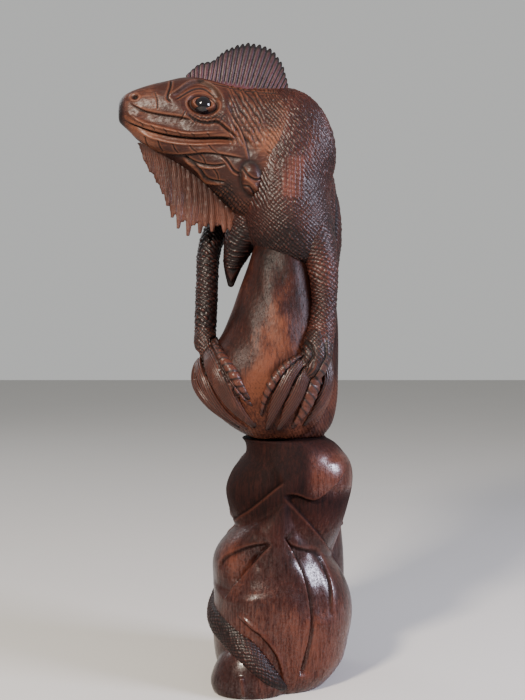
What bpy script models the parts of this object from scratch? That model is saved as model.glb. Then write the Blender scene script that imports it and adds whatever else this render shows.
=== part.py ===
"""Carved wooden iguana clasping the knot of a twisted trunk, built up from glued and pegged pieces.

Metres, +Z up. The origin is on the table, under the middle of the trunk. The animal's head points to -X
and its back is towards +Y. The shapes are drawn once, full size in millimetres, as a carver's template,
and the named sizes below stretch that template, so pieces that fit one another move together.
"""

import math

import bmesh
import bpy
from mathutils import Matrix, Vector
from mathutils.bvhtree import BVHTree

MM = 0.001

# Driving sizes, in millimetres.
PLINTH_HEIGHT = 150.0  # table to the seam between the plinth and the perch
PERCH_HEIGHT = 130.0  # seam to the top of the perch
TRUNK_WIDTH = 91.0  # plinth, left to right
TRUNK_DEPTH = 84.0  # plinth, front to back
HEAD_LENGTH = 102.0  # snout to the neck joint
HEAD_WIDTH = 51.0  # across the jaw hinges
CREST_THICKNESS = 4.0
CREST_RISE = 30.0  # of the crest above the skull
CREST_ROOT = 5.0  # how deep the crest sits in its slot
DEWLAP_THICKNESS = 6.0
DEWLAP_DROP = 46.0  # chin fringe, below the jaw
DEWLAP_TEETH = 11
DEWLAP_ROOT = 5.0
EYE_DIAMETER = 12.0
EYE_PROUD = 2.2  # how far the bead stands out of the skull
LEG_THICKNESS = 14.4  # of a foreleg at its middle
BODY_THICKNESS = 39.0
TAIL_THICKNESS = 18.4
TOE_THICKNESS = 6.8
FIT_GAP = 0.3  # between any two pieces that meet
DOWEL_DIAMETER = 8.0
PEG_DIAMETER = 4.0
PEG_CLEARANCE = 0.15  # round a dowel or a peg, in its hole

# The template's own sizes, which the driving sizes are measured against.
DRAWN_SEAM = 150.0
DRAWN_TOP = 280.0
DRAWN_WIDTH = 91.0
DRAWN_DEPTH = 84.0
DRAWN_HEAD = 102.0
DRAWN_HEAD_WIDTH = 51.0
DRAWN_CREST_RISE = 30.0
DRAWN_DEWLAP_DROP = 46.0
DRAWN_LEG = 14.4
DRAWN_BODY = 39.0
DRAWN_TAIL = 18.4
DRAWN_TOE = 6.8
NECK_X = -2.0  # the back of the head, and the point the head turns from
HEAD_TURN = math.atan(0.16)  # the head turns this much towards the front
JOINT_TOP = (-9.0, 369.0)  # the slanting neck joint, as two (x, z) points of the template
JOINT_FOOT = (-19.6, 283.0)

STAIN_DARK = (0.085, 0.030, 0.018)
STAIN_RED = (0.130, 0.040, 0.024)
STAIN_PLUM = (0.070, 0.022, 0.026)
STAIN_PALE = (0.190, 0.070, 0.032)
BARE_WOOD = (0.42, 0.27, 0.15)
BEAD_BLACK = (0.012, 0.008, 0.010)

# How finely the shapes are made.
WELD = 0.02 * MM  # cap points nearer than this are one
TRUNK_SIDES = 28
SHOULDER_SIDES = 32
HEAD_SIDES = 26
TOE_STEPS = 3  # stretches between two points of a toe
BODY_GRAIN = 2.2  # cell of the grown torso, in millimetres
BODY_TRIANGLES = 2100
HAND_GRAIN = 1.3
HINDLEG_GRAIN = 1.5
LIMB_TRIANGLES = 900

TRUNK_POWER = 2.2  # how square the trunk's sections are; 2 is round
SHOULDER_POWER = 2.1
HEAD_POWER = 2.35
EYE_PLACE = (-51.2, 355.0)  # (x, z) of the template
TOOTH_BITE = 0.22  # share of the dewlap's drop between two teeth
TOOTH_LEAN = 1.2  # of each tooth's tip towards the snout, in millimetres
TOE_SUNK = 0.35  # share of a toe's radius by which its middle line stands out of the wood
FAR = 300.0 * MM  # beyond any side of the sculpture
BLOCK_SIZE = 400.0 * MM  # a cutting block's side

GAP = FIT_GAP * MM
PARTS = "carved_iguana"
HELPERS = "cutters"

# Sections of the template, from the bottom up: (z, left x, right x, front y, back y).
LOWER_LOBE = (
    (0.0, -34.0, 28.0, -36.0, 32.0),
    (5.0, -38.0, 33.0, -39.0, 36.0),
    (14.0, -41.5, 39.5, -41.0, 39.5),
    (26.0, -43.0, 42.5, -42.0, 41.5),
    (40.0, -43.5, 45.0, -42.5, 42.0),
    (52.0, -42.5, 44.0, -42.0, 41.0),
    (64.0, -43.5, 39.5, -40.5, 38.5),
    (76.0, -43.0, 31.5, -38.5, 35.0),
    (86.0, -37.5, 24.5, -37.0, 30.0),
    (96.0, -27.0, 17.0, -35.5, 22.0),
    (106.0, -12.0, 9.0, -34.0, 4.0),
    (112.0, -2.0, 4.0, -33.2, -22.0),
)
UPPER_LOBE = (
    (70.0, -20.0, 30.0, -22.0, 28.0),
    (84.0, -24.5, 35.5, -26.0, 32.0),
    (96.0, -30.0, 39.5, -29.0, 35.0),
    (108.0, -34.0, 43.0, -31.0, 37.0),
    (119.0, -35.0, 45.5, -32.0, 38.0),
    (130.0, -30.5, 45.5, -31.0, 37.5),
    (139.0, -23.0, 41.0, -28.5, 35.0),
    (146.0, -22.5, 35.0, -26.0, 32.0),
    (150.0, -25.0, 28.0, -25.0, 29.0),
)
TOE_LOBE = (
    (0.0, -42.0, 3.0, -45.0, -6.0),
    (6.0, -43.5, 5.0, -46.5, -4.0),
    (14.0, -41.0, 4.0, -45.5, -4.0),
    (22.0, -36.0, -2.0, -42.0, -8.0),
    (29.0, -28.0, -12.0, -36.0, -16.0),
)
REAR_LOBE = (
    (8.0, 6.0, 34.0, 14.0, 42.0),
    (30.0, 2.0, 40.0, 12.0, 44.0),
    (56.0, 2.0, 42.0, 10.0, 43.5),
    (80.0, 6.0, 41.0, 10.0, 42.0),
    (100.0, 12.0, 38.0, 12.0, 38.5),
    (114.0, 18.0, 32.0, 18.0, 32.0),
)
KNOT = (
    (150.0, -16.0, 10.0, -15.0, 16.0),
    (152.0, -22.0, 14.0, -23.0, 20.0),
    (156.0, -29.0, 19.0, -29.0, 24.0),
    (163.0, -38.0, 25.0, -34.0, 27.0),
    (173.0, -47.5, 30.5, -38.0, 29.0),
    (184.0, -52.0, 33.0, -40.0, 30.0),
    (194.0, -51.5, 33.0, -40.0, 30.0),
    (204.0, -46.0, 31.0, -38.5, 30.0),
    (215.0, -37.5, 27.5, -36.0, 29.0),
    (228.0, -32.0, 25.0, -33.0, 28.0),
    (243.0, -26.5, 23.0, -29.0, 26.0),
    (260.0, -20.5, 21.0, -25.0, 22.0),
    (272.0, -16.0, 18.0, -20.0, 18.0),
    (280.0, -9.0, 12.0, -12.0, 11.0),
)
POST = (
    (150.0, -12.0, 27.0, -8.0, 28.0),
    (158.0, -12.0, 33.5, -7.0, 32.0),
    (172.0, -12.0, 36.5, -5.0, 33.5),
    (192.0, -10.0, 37.6, -3.0, 34.0),
    (212.0, -8.0, 37.6, -2.0, 33.0),
    (232.0, -6.0, 36.2, -2.0, 32.0),
    (252.0, -6.0, 32.5, -2.0, 29.0),
    (266.0, -4.0, 26.0, 0.0, 24.0),
    (272.0, 2.0, 18.0, 4.0, 18.0),
)
SHOULDERS = (
    (256.0, -4.0, 30.0, -16.0, 24.0),
    (262.0, -12.0, 33.5, -24.0, 29.0),
    (272.0, -19.0, 34.5, -28.5, 32.0),
    (284.0, -24.0, 34.0, -31.0, 34.0),
    (298.0, -27.0, 31.5, -31.0, 34.0),
    (312.0, -28.0, 32.5, -30.5, 34.0),
    (326.0, -28.5, 35.0, -29.5, 33.5),
    (339.0, -27.5, 33.8, -27.5, 31.0),
    (349.0, -24.5, 30.3, -25.0, 28.0),
    (357.5, -20.5, 25.4, -21.5, 23.5),
    (364.0, -14.0, 19.0, -17.0, 18.0),
    (368.0, -6.0, 12.0, -10.5, 11.5),
    (369.8, 0.0, 7.0, -3.5, 6.5),
)
# The head, from snout to neck: (x, top z, bottom z, half width).
SKULL = (
    (-102.6, 354.5, 349.5, 2.5),
    (-102.0, 358.6, 346.5, 5.0),
    (-99.6, 362.2, 344.0, 8.0),
    (-95.6, 364.8, 340.5, 10.8),
    (-91.0, 366.8, 335.8, 13.2),
    (-83.0, 369.6, 330.2, 15.5),
    (-73.0, 372.2, 325.0, 18.0),
    (-62.0, 374.8, 318.6, 20.3),
    (-50.0, 374.4, 309.6, 22.2),
    (-38.0, 371.6, 297.8, 23.8),
    (-26.0, 368.4, 287.8, 25.0),
    (-14.0, 367.0, 284.4, 25.5),
    (-2.0, 365.0, 285.0, 24.0),
)
# Outlines in the plane of the head: (x, height above the skull or depth below the jaw line).
CREST_OUTLINE = (
    (-60.6, 376.8),
    (-54.1, 383.0),
    (-50.2, 385.2),
    (-46.1, 386.0),
    (-42.6, 387.2),
    (-39.6, 390.7),
    (-35.0, 393.9),
    (-29.0, 396.6),
    (-21.9, 398.9),
    (-13.7, 398.2),
    (-7.7, 396.8),
    (-3.6, 393.6),
    (0.6, 387.7),
    (3.1, 380.8),
    (4.7, 373.7),
    (4.6, 367.5),
)
CREST_LINE = ((-60.6, 375.5), (-48.6, 373.6), (-38.6, 371.2), (-25.3, 368.4), (-12.6, 367.6), (4.6, 367.4))
DEWLAP_LINE = (
    (-88.5, 331.6),
    (-82.7, 329.0),
    (-75.7, 325.6),
    (-64.8, 319.4),
    (-51.3, 310.4),
    (-37.9, 296.2),
    (-29.7, 288.2),
    (-22.2, 281.0),
)
DEWLAP_EDGE = (
    (-88.5, 330.0),
    (-84.4, 318.5),
    (-77.1, 307.0),
    (-71.1, 296.5),
    (-64.9, 283.5),
    (-60.0, 277.6),
    (-54.6, 277.8),
    (-46.4, 280.0),
    (-37.6, 281.2),
    (-22.2, 280.4),
)
# Limbs: (x, y, z, radius), each along its middle line.
BODY = (
    (14.0, 8.0, 312.0, 20.0),
    (19.5, 20.0, 292.0, 19.8),
    (21.0, 28.0, 272.0, 19.2),
    (17.0, 35.0, 248.0, 18.6),
    (11.0, 39.5, 220.0, 18.4),
    (5.0, 43.0, 190.0, 19.5),
    (2.0, 45.0, 160.0, 20.0),
    (-1.0, 45.0, 138.0, 18.0),
    (-6.0, 43.5, 118.0, 14.0),
    (-9.5, 41.0, 103.0, 11.0),
)
CHEST_FOLD = (
    (-16.0, 0.0, 292.0, 14.0),
    (-25.0, 2.0, 276.0, 11.0),
    (-30.5, 3.0, 260.0, 6.5),
    (-32.0, 3.0, 247.0, 2.5),
)
RIGHT_FORELEG = (
    (0.0, 20.0, 297.0, 11.5),
    (-16.0, 24.5, 294.0, 10.4),
    (-31.0, 22.0, 288.5, 9.2),
    (-41.5, 15.5, 281.0, 8.2),
    (-46.3, 9.0, 268.0, 7.5),
    (-47.2, 3.5, 250.0, 7.1),
    (-47.5, -1.5, 232.0, 7.1),
    (-48.1, -6.0, 214.0, 6.8),
)
LEFT_FORELEG = (
    (13.0, -9.0, 290.0, 14.0),
    (20.5, -13.0, 273.0, 13.0),
    (25.6, -16.5, 256.0, 9.8),
    (26.4, -19.0, 239.0, 8.0),
    (25.2, -23.0, 224.0, 8.2),
    (22.5, -28.5, 210.0, 9.0),
)
LEFT_HINDLEG = (
    (4.0, 49.0, 140.0, 12.0),
    (17.0, 50.0, 142.0, 10.6),
    (27.0, 45.5, 137.0, 8.6),
    (31.5, 39.5, 125.0, 7.2),
    (32.5, 37.0, 113.0, 6.4),
)
RIGHT_HINDLEG = (
    (-6.0, 49.0, 130.0, 12.0),
    (-17.0, 49.0, 126.0, 10.4),
    (-25.0, 43.5, 117.0, 8.2),
    (-27.0, 38.0, 106.0, 7.0),
    (-27.5, 35.0, 97.0, 6.4),
)
# The tail round the plinth: (angle from +X in degrees, z, radius, share of the radius sunk in the wood).
TAIL = (
    (103.0, 105.0, 11.0, -0.4),
    (107.0, 92.0, 10.7, -0.1),
    (117.0, 77.0, 10.4, 0.25),
    (132.0, 63.0, 10.0, 0.55),
    (153.0, 49.5, 9.6, 0.75),
    (180.0, 41.5, 9.2, 0.7),
    (211.0, 37.5, 8.8, 0.6),
    (239.0, 28.0, 8.0, 0.5),
    (259.0, 14.5, 5.8, 0.5),
    (271.0, 5.6, 2.6, 0.5),
)
# Toes on the knot, each from its root to its claw: (x, z).
RIGHT_TOES = (
    ((-50.0, 207.0), (-54.5, 196.0), (-52.0, 184.0), (-44.5, 172.0), (-35.0, 165.0)),
    ((-48.5, 207.0), (-50.5, 194.0), (-46.5, 181.0), (-38.5, 169.5)),
    ((-46.5, 206.5), (-45.0, 193.0), (-39.5, 181.0), (-32.0, 171.5)),
    ((-44.5, 206.5), (-39.0, 194.5), (-32.0, 184.0), (-25.0, 176.5)),
    ((-43.0, 207.5), (-35.5, 199.0), (-28.5, 189.0), (-22.0, 179.0)),
)
LEFT_TOES = (
    ((17.0, 206.0), (5.0, 197.0), (-5.0, 187.5), (-13.0, 178.0), (-15.5, 168.0)),
    ((18.5, 204.0), (9.5, 191.0), (3.5, 178.0), (-2.5, 163.5)),
    ((21.0, 203.0), (17.0, 190.0), (13.5, 177.0), (10.5, 164.5)),
    ((23.5, 203.0), (24.5, 190.0), (21.0, 177.0), (16.0, 165.5)),
    ((25.5, 204.0), (30.5, 193.0), (29.5, 180.0), (24.0, 169.0)),
)
# Toes on the plinth's back: (angle, z).
LEFT_HIND_TOES = (
    ((47.0, 112.0), (40.0, 103.0), (36.0, 90.0)),
    ((49.0, 111.0), (47.0, 98.0), (45.0, 84.0)),
    ((51.0, 111.0), (55.0, 99.0), (56.0, 85.0)),
    ((53.0, 112.0), (62.0, 103.0), (67.0, 92.0)),
)
RIGHT_HIND_TOES = (
    ((126.0, 97.0), (121.0, 91.0), (117.0, 84.0)),
    ((129.0, 96.0), (130.0, 87.0), (131.0, 80.0)),
    ((132.0, 96.0), (139.0, 87.0), (142.0, 77.0)),
    ((135.0, 97.0), (147.0, 90.0), (152.0, 81.0)),
)


def clear_scene():
    """Starts from an empty file."""
    for old in list(bpy.data.objects):
        bpy.data.objects.remove(old)
    for name in (PARTS, HELPERS):
        bpy.context.scene.collection.children.link(bpy.data.collections.new(name))


def stain(name, colour, roughness=0.35):
    """A lacquered or bare material."""
    material = bpy.data.materials.new(name)
    material.use_nodes = True
    shader = material.node_tree.nodes["Principled BSDF"]
    shader.inputs["Base Color"].default_value = (*colour, 1.0)
    shader.inputs["Roughness"].default_value = roughness
    shader.inputs["Metallic"].default_value = 0.0
    return material


def height(z):
    """The template's z, stretched to the plinth's and the perch's own heights."""
    if z <= DRAWN_SEAM:
        return z * PLINTH_HEIGHT / DRAWN_SEAM * MM
    if z <= DRAWN_TOP:
        return (PLINTH_HEIGHT + (z - DRAWN_SEAM) * PERCH_HEIGHT / (DRAWN_TOP - DRAWN_SEAM)) * MM
    return (PLINTH_HEIGHT + PERCH_HEIGHT + z - DRAWN_TOP) * MM


def placed(x, y, z):
    """A template point on or round the trunk."""
    return Vector((x * TRUNK_WIDTH / DRAWN_WIDTH * MM, y * TRUNK_DEPTH / DRAWN_DEPTH * MM, height(z)))


def head_place(x, side, z):
    """A template point on the head: side is the distance from its middle plane, towards the back."""
    along = (x - NECK_X) * HEAD_LENGTH / DRAWN_HEAD
    turn = Matrix.Rotation(HEAD_TURN, 3, "Z")
    return placed(NECK_X, 0.0, z) + turn @ Vector((along * MM, side * MM, 0.0))


def smooth(points, steps):
    """Points of a Catmull-Rom curve through the given ones, with steps stretches between each two."""
    made = []
    count = len(points)
    for i in range(count - 1):
        four = [points[min(max(i + k, 0), count - 1)] for k in (-1, 0, 1, 2)]
        for step in range(steps):
            t = step / steps
            weights = (
                -0.5 * t + t**2 - 0.5 * t**3,
                1.0 - 2.5 * t**2 + 1.5 * t**3,
                0.5 * t + 2.0 * t**2 - 1.5 * t**3,
                -0.5 * t**2 + 0.5 * t**3,
            )
            made.append(tuple(sum(w * p[k] for w, p in zip(weights, four)) for k in range(len(four[0]))))
    made.append(tuple(points[-1]))
    return made


def new_object(name, mesh, collection=PARTS):
    obj = bpy.data.objects.new(name, mesh)
    bpy.data.collections[collection].objects.link(obj)
    if collection == HELPERS:
        obj.hide_render = True
        obj.display_type = "WIRE"
    return obj


def move_to_helpers(obj):
    """Takes a fresh primitive out of the scene's own collection, to be shaped as a cutter."""
    for collection in list(obj.users_collection):
        collection.objects.unlink(obj)
    bpy.data.collections[HELPERS].objects.link(obj)
    obj.hide_render = True
    obj.display_type = "WIRE"


def loft(name, rings):
    """A closed solid through rings of as many points each."""
    shape = bmesh.new()
    made = [[shape.verts.new(point) for point in ring] for ring in rings]
    for low, high in zip(made, made[1:]):
        for k in range(len(low)):
            after = (k + 1) % len(low)
            shape.faces.new((low[k], low[after], high[after], high[k]))
    shape.faces.new(reversed(made[0]))
    shape.faces.new(made[-1])
    bmesh.ops.triangulate(shape, faces=[f for f in shape.faces if len(f.verts) > 4])
    bmesh.ops.recalc_face_normals(shape, faces=shape.faces)
    mesh = bpy.data.meshes.new(name)
    shape.to_mesh(mesh)
    shape.free()
    return new_object(name, mesh, HELPERS)


def superellipse(angle, power):
    """A point of the unit superellipse: a circle at power 2, squarer above it."""
    c, s = math.cos(angle), math.sin(angle)
    return math.copysign(abs(c) ** (2.0 / power), c), math.copysign(abs(s) ** (2.0 / power), s)


def stack(name, rows, sides=TRUNK_SIDES, power=TRUNK_POWER):
    """A trunk-like solid of level sections."""
    rings = []
    for z, left, right, front, back in rows:
        ring = []
        for k in range(sides):
            c, s = superellipse(2.0 * math.pi * k / sides, power)
            x = (left + right) / 2.0 + c * (right - left) / 2.0
            y = (front + back) / 2.0 + s * (back - front) / 2.0
            ring.append(placed(x, y, z))
        rings.append(ring)
    return loft(name, rings)


def limb(name, path, thickness_ratio=1.0, sides=3):
    """A tapering round limb along points of (place, radius in millimetres)."""
    curve = bpy.data.curves.new(name, "CURVE")
    curve.dimensions = "3D"
    curve.bevel_depth = MM
    curve.bevel_resolution = sides
    curve.use_fill_caps = True
    line = curve.splines.new("POLY")
    line.points.add(len(path) - 1)
    for point, (place, radius) in zip(line.points, path):
        point.co = (*place, 1.0)
        point.radius = radius * thickness_ratio
    return meshed(new_object(name, curve, HELPERS), WELD)


def meshed(obj, weld=0.0):
    """The object with its modifiers applied, as a mesh, whose points nearer than the weld are made one."""
    bpy.context.view_layer.update()
    mesh = bpy.data.meshes.new_from_object(obj.evaluated_get(bpy.context.evaluated_depsgraph_get()))
    shape = bmesh.new()
    shape.from_mesh(mesh)
    if weld > 0.0:
        bmesh.ops.remove_doubles(shape, verts=shape.verts, dist=weld)
    bmesh.ops.recalc_face_normals(shape, faces=shape.faces)
    shape.to_mesh(mesh)
    shape.free()
    name = obj.name
    collection = obj.users_collection[0].name
    world = obj.matrix_world.copy()
    bpy.data.objects.remove(obj)
    made = new_object(name, mesh, collection)
    made.name = name
    made.matrix_world = world
    return made


def boolean(obj, other, operation):
    """Applies one Boolean between closed solids."""
    modifier = obj.modifiers.new(operation.lower(), "BOOLEAN")
    modifier.operation = operation
    modifier.solver = "MANIFOLD"
    modifier.object = other
    return meshed(obj)


def joined(name, pieces, voxel, triangles):
    """Overlapping shapes grown into one smooth solid of about so many triangles."""
    shape = bmesh.new()
    for piece in pieces:
        shape.from_mesh(piece.data)
        bpy.data.objects.remove(piece)
    mesh = bpy.data.meshes.new(name)
    shape.to_mesh(mesh)
    shape.free()
    obj = new_object(name, mesh)
    remesh = obj.modifiers.new("grown", "REMESH")
    remesh.mode = "VOXEL"
    remesh.voxel_size = voxel * MM
    soften = obj.modifiers.new("soften", "SMOOTH")
    soften.factor = 0.5
    soften.iterations = 4
    obj = meshed(obj)
    obj.data.calc_loop_triangles()
    thin = obj.modifiers.new("thin", "DECIMATE")
    thin.ratio = min(1.0, triangles / len(obj.data.loop_triangles))
    return meshed(obj)


def finished(obj, name, material):
    """Puts a shape among the parts under its own name, shaded smooth."""
    for collection in list(obj.users_collection):
        collection.objects.unlink(obj)
    bpy.data.collections[PARTS].objects.link(obj)
    obj.hide_render = False
    obj.display_type = "TEXTURED"
    obj.name = name
    obj.data.materials.clear()
    obj.data.materials.append(material)
    obj.data.shade_smooth()
    obj.data.set_sharp_from_angle(angle=math.radians(40.0))
    return obj


def grown_copy(obj, gap=GAP):
    """A cutter that stands a gap proud of the object all round."""
    cutter = new_object(obj.name + "_cutter", obj.data.copy(), HELPERS)
    cutter.matrix_world = obj.matrix_world.copy()
    swell = cutter.modifiers.new("swell", "DISPLACE")
    swell.mid_level = 0.0
    swell.strength = gap
    return meshed(cutter)


def largest_body(obj):
    """Drops the crumbs that a cut leaves loose, keeping the piece itself."""
    shape = bmesh.new()
    shape.from_mesh(obj.data)
    left = set(shape.verts)
    bodies = []
    while left:
        body, front = set(), [left.pop()]
        while front:
            vert = front.pop()
            body.add(vert)
            for edge in vert.link_edges:
                other = edge.other_vert(vert)
                if other in left:
                    left.discard(other)
                    front.append(other)
        bodies.append(body)
    keep = max(bodies, key=len)
    bmesh.ops.delete(shape, geom=[v for body in bodies if body is not keep for v in body], context="VERTS")
    shape.to_mesh(obj.data)
    shape.free()
    return obj


def fitted(obj, *neighbours):
    """Cuts the object back to leave the fit gap round each neighbour."""
    for neighbour in neighbours:
        cutter = grown_copy(neighbour)
        obj = boolean(obj, cutter, "DIFFERENCE")
        bpy.data.objects.remove(cutter)
    return largest_body(obj)


def surface_of(obj):
    shape = bmesh.new()
    shape.from_mesh(obj.data)
    shape.transform(obj.matrix_world)
    tree = BVHTree.FromBMesh(shape)
    shape.free()
    return tree


def on_front(tree, x, z, proud):
    """The point of a surface straight behind the template's x and z, and proud millimetres out of it."""
    aim = placed(x, 0.0, z)
    start = Vector((aim.x, -FAR, aim.z))
    hit, normal, _, _ = tree.ray_cast(start, Vector((0.0, 1.0, 0.0)))
    if hit is None:
        hit, normal, _, _ = tree.find_nearest(placed(x, -12.0, z))
    return hit + normal * proud * MM


def on_round(tree, degrees, z, proud):
    """The point of the plinth's surface at an angle round its middle, and proud millimetres out of it."""
    way = Vector((math.cos(math.radians(degrees)), math.sin(math.radians(degrees)), 0.0))
    far = way * FAR + Vector((0.0, 0.0, height(z)))
    hit, normal, _, _ = tree.ray_cast(far, -way)
    return hit + normal * proud * MM


def plinth_shape():
    """The lower trunk: a bud of wood under a rounder lobe, with two smaller lobes at its foot and back."""
    lower = stack("lower_lobe", LOWER_LOBE)
    extras = (
        stack("upper_lobe", UPPER_LOBE, 26),
        stack("toe_lobe", TOE_LOBE, 20),
        stack("rear_lobe", REAR_LOBE, 18),
    )
    for extra in extras:
        lower = boolean(lower, extra, "UNION")
        bpy.data.objects.remove(extra)
    return lower


def perch_shape():
    """The knot that the forefeet hold, with the post that rises behind it."""
    knot = stack("knot", KNOT, 30)
    post = stack("post", POST, 22)
    knot = boolean(knot, post, "UNION")
    bpy.data.objects.remove(post)
    knot.location.z += GAP
    return knot


def template_limb(name, path, ratio, steps=2, sides=3):
    """A limb from template points."""
    return limb(name, [(placed(x, y, z), r) for x, y, z, r in smooth(path, steps)], ratio, sides)


def torso_shape():
    """Neck hump, shoulders, chest fold and the body that runs down the back of the trunk."""
    body_ratio = BODY_THICKNESS / DRAWN_BODY
    pieces = (
        stack("shoulders", SHOULDERS, SHOULDER_SIDES, SHOULDER_POWER),
        template_limb("body", BODY, body_ratio, 2, 4),
        template_limb("chest_fold", CHEST_FOLD, body_ratio),
    )
    return joined("torso", pieces, BODY_GRAIN, BODY_TRIANGLES)


def head_shape():
    """The skull and jaws, as sections from snout to neck."""
    width_ratio = HEAD_WIDTH / DRAWN_HEAD_WIDTH
    rings = []
    for x, top, bottom, half in SKULL:
        ring = []
        for k in range(HEAD_SIDES):
            c, s = superellipse(2.0 * math.pi * k / HEAD_SIDES, HEAD_POWER)
            z = (top + bottom) / 2.0 + s * (top - bottom) / 2.0
            ring.append(head_place(x, half * width_ratio * c, z))
        rings.append(ring)
    return loft("head", rings)


def half_space(name, towards_head):
    """A block on one side of the slanting neck joint, above its foot."""
    (top_x, top_z), (foot_x, foot_z) = JOINT_TOP, JOINT_FOOT
    top, foot = placed(top_x, 0.0, top_z), placed(foot_x, 0.0, foot_z)
    along = (top - foot).normalized()
    out = Vector((-along.z, 0.0, along.x)) * (1.0 if towards_head else -1.0)
    across = Vector((0.0, 1.0, 0.0))
    middle = foot + (along + out) * BLOCK_SIZE / 2.0 - out * GAP / 2.0
    bpy.ops.mesh.primitive_cube_add(size=BLOCK_SIZE)
    block = bpy.context.object
    turn = Matrix((out, across, out.cross(across))).transposed().to_4x4()
    block.matrix_world = Matrix.Translation(middle) @ turn
    block.name = name
    move_to_helpers(block)
    return meshed(block)


def plate(name, outline, thickness):
    """A flat piece in the head's middle plane, from (x, z) points of the template."""
    curve = bpy.data.curves.new(name, "CURVE")
    curve.dimensions = "2D"
    curve.fill_mode = "BOTH"
    curve.extrude = thickness / 2.0 * MM
    line = curve.splines.new("POLY")
    line.points.add(len(outline) - 1)
    line.use_cyclic_u = True
    for point, (x, z) in zip(line.points, outline):
        along = (x - NECK_X) * HEAD_LENGTH / DRAWN_HEAD * MM
        point.co = (along, height(z), 0.0, 1.0)
    obj = new_object(name, curve, HELPERS)
    turn = Matrix.Rotation(HEAD_TURN, 4, "Z")
    upright = Matrix.Rotation(math.pi / 2.0, 4, "X")
    obj.matrix_world = Matrix.Translation(placed(NECK_X, 0.0, 0.0)) @ turn @ upright
    return meshed(obj, WELD)


def along_line(line, x):
    """The height of a line of (x, z) points at x."""
    for (x0, z0), (x1, z1) in zip(line, line[1:]):
        if x0 <= x <= x1:
            return z0 + (z1 - z0) * (x - x0) / (x1 - x0)
    return line[-1][1]


def crest_shape():
    """The comb plate, whose root sits in a slot along the skull and nape."""
    rise = CREST_RISE / DRAWN_CREST_RISE
    edge = []
    for x, z in smooth(CREST_OUTLINE, 2):
        skull = along_line(CREST_LINE, x)
        edge.append((x, skull + (z - skull) * rise))
    root = [(x, z - CREST_ROOT) for x, z in reversed(CREST_LINE)]
    return plate("crest", edge + root, CREST_THICKNESS)


def dewlap_shape():
    """The chin fringe, whose root sits in a slot along the jaw and throat."""
    drop = DEWLAP_DROP / DRAWN_DEWLAP_DROP
    first, last = DEWLAP_EDGE[0][0], DEWLAP_EDGE[-1][0]
    teeth = []
    for k in range(2 * DEWLAP_TEETH + 1):
        x = first + (last - first) * k / (2 * DEWLAP_TEETH)
        jaw = along_line(DEWLAP_LINE, x)
        tip = jaw + (along_line(DEWLAP_EDGE, x) - jaw) * drop
        bite = 0.0 if k % 2 else TOOTH_BITE * (jaw - tip)
        teeth.append((x - TOOTH_LEAN * (k % 2), tip + bite))
    root = [(x, z + DEWLAP_ROOT) for x, z in reversed(DEWLAP_LINE)]
    return plate("dewlap", teeth + root, DEWLAP_THICKNESS)


def eye_shape(name, head_tree, side):
    """A polished bead let into the skull; side is -1 for the left eye and 1 for the right."""
    x, z = EYE_PLACE
    start = head_place(x, side * HEAD_WIDTH, z)
    inward = (head_place(x, 0.0, z) - start).normalized()
    hit, _, _, _ = head_tree.ray_cast(start, inward)
    radius = EYE_DIAMETER / 2.0 * MM
    bpy.ops.mesh.primitive_uv_sphere_add(segments=18, ring_count=10, radius=radius)
    bead = bpy.context.object
    bead.name = name
    move_to_helpers(bead)
    bead.location = hit + inward * (radius - EYE_PROUD * MM)
    return bead


def forefoot_shape(name, perch_tree, wrist, toes):
    """A hand laid over the knot: a palm and five toes that follow its surface."""
    toe_ratio = TOE_THICKNESS / DRAWN_TOE
    wx, wy, wz, wr = wrist
    palm_x, palm_z = toes[2][0]
    palm = on_front(perch_tree, palm_x, palm_z - 4.0, 1.0)
    wrist_place = placed(wx, wy, wz + 2.0)
    steps = ((wrist_place, 1.0), ((wrist_place + palm) / 2.0, 1.12), (palm, 1.1))
    pieces = [limb(name + "_palm", [(place, wr * swell) for place, swell in steps])]
    for number, toe in enumerate(toes):
        path = []
        points = smooth(toe, TOE_STEPS)
        for k, (x, z) in enumerate(points):
            radius = 3.5 - 1.7 * k / (len(points) - 1)
            path.append((on_front(perch_tree, x, z, TOE_SUNK * radius), radius))
        pieces.append(limb(f"{name}_toe_{number}", path, toe_ratio, 2))
    return joined(name, pieces, HAND_GRAIN, LIMB_TRIANGLES)


def hindleg_shape(name, plinth_tree, path, toes):
    """A thigh, shin and foot on the back of the trunk."""
    pieces = [template_limb(name + "_leg", path, LEG_THICKNESS / DRAWN_LEG)]
    ankle = placed(*path[-1][:3])
    for number, toe in enumerate(toes):
        points = smooth(toe, TOE_STEPS)
        way = [(ankle, 4.2)]
        for k, (angle, z) in enumerate(points):
            radius = 3.4 - 1.6 * k / (len(points) - 1)
            way.append((on_round(plinth_tree, angle, z, TOE_SUNK * radius), radius))
        pieces.append(limb(f"{name}_toe_{number}", way, TOE_THICKNESS / DRAWN_TOE, 2))
    return joined(name, pieces, HINDLEG_GRAIN, LIMB_TRIANGLES)


def tail_shape(plinth_tree):
    """The tail, wound round the plinth and sunk a little into it."""
    ratio = TAIL_THICKNESS / DRAWN_TAIL
    path = []
    for angle, z, radius, sunk in smooth(TAIL, 3):
        path.append((on_round(plinth_tree, angle, z, -sunk * radius * ratio), radius))
    for _ in range(3):
        for k in range(1, len(path) - 1):
            path[k] = ((path[k - 1][0] + path[k][0] * 2.0 + path[k + 1][0]) / 4.0, path[k][1])
    return limb("tail", path, ratio)


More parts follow.
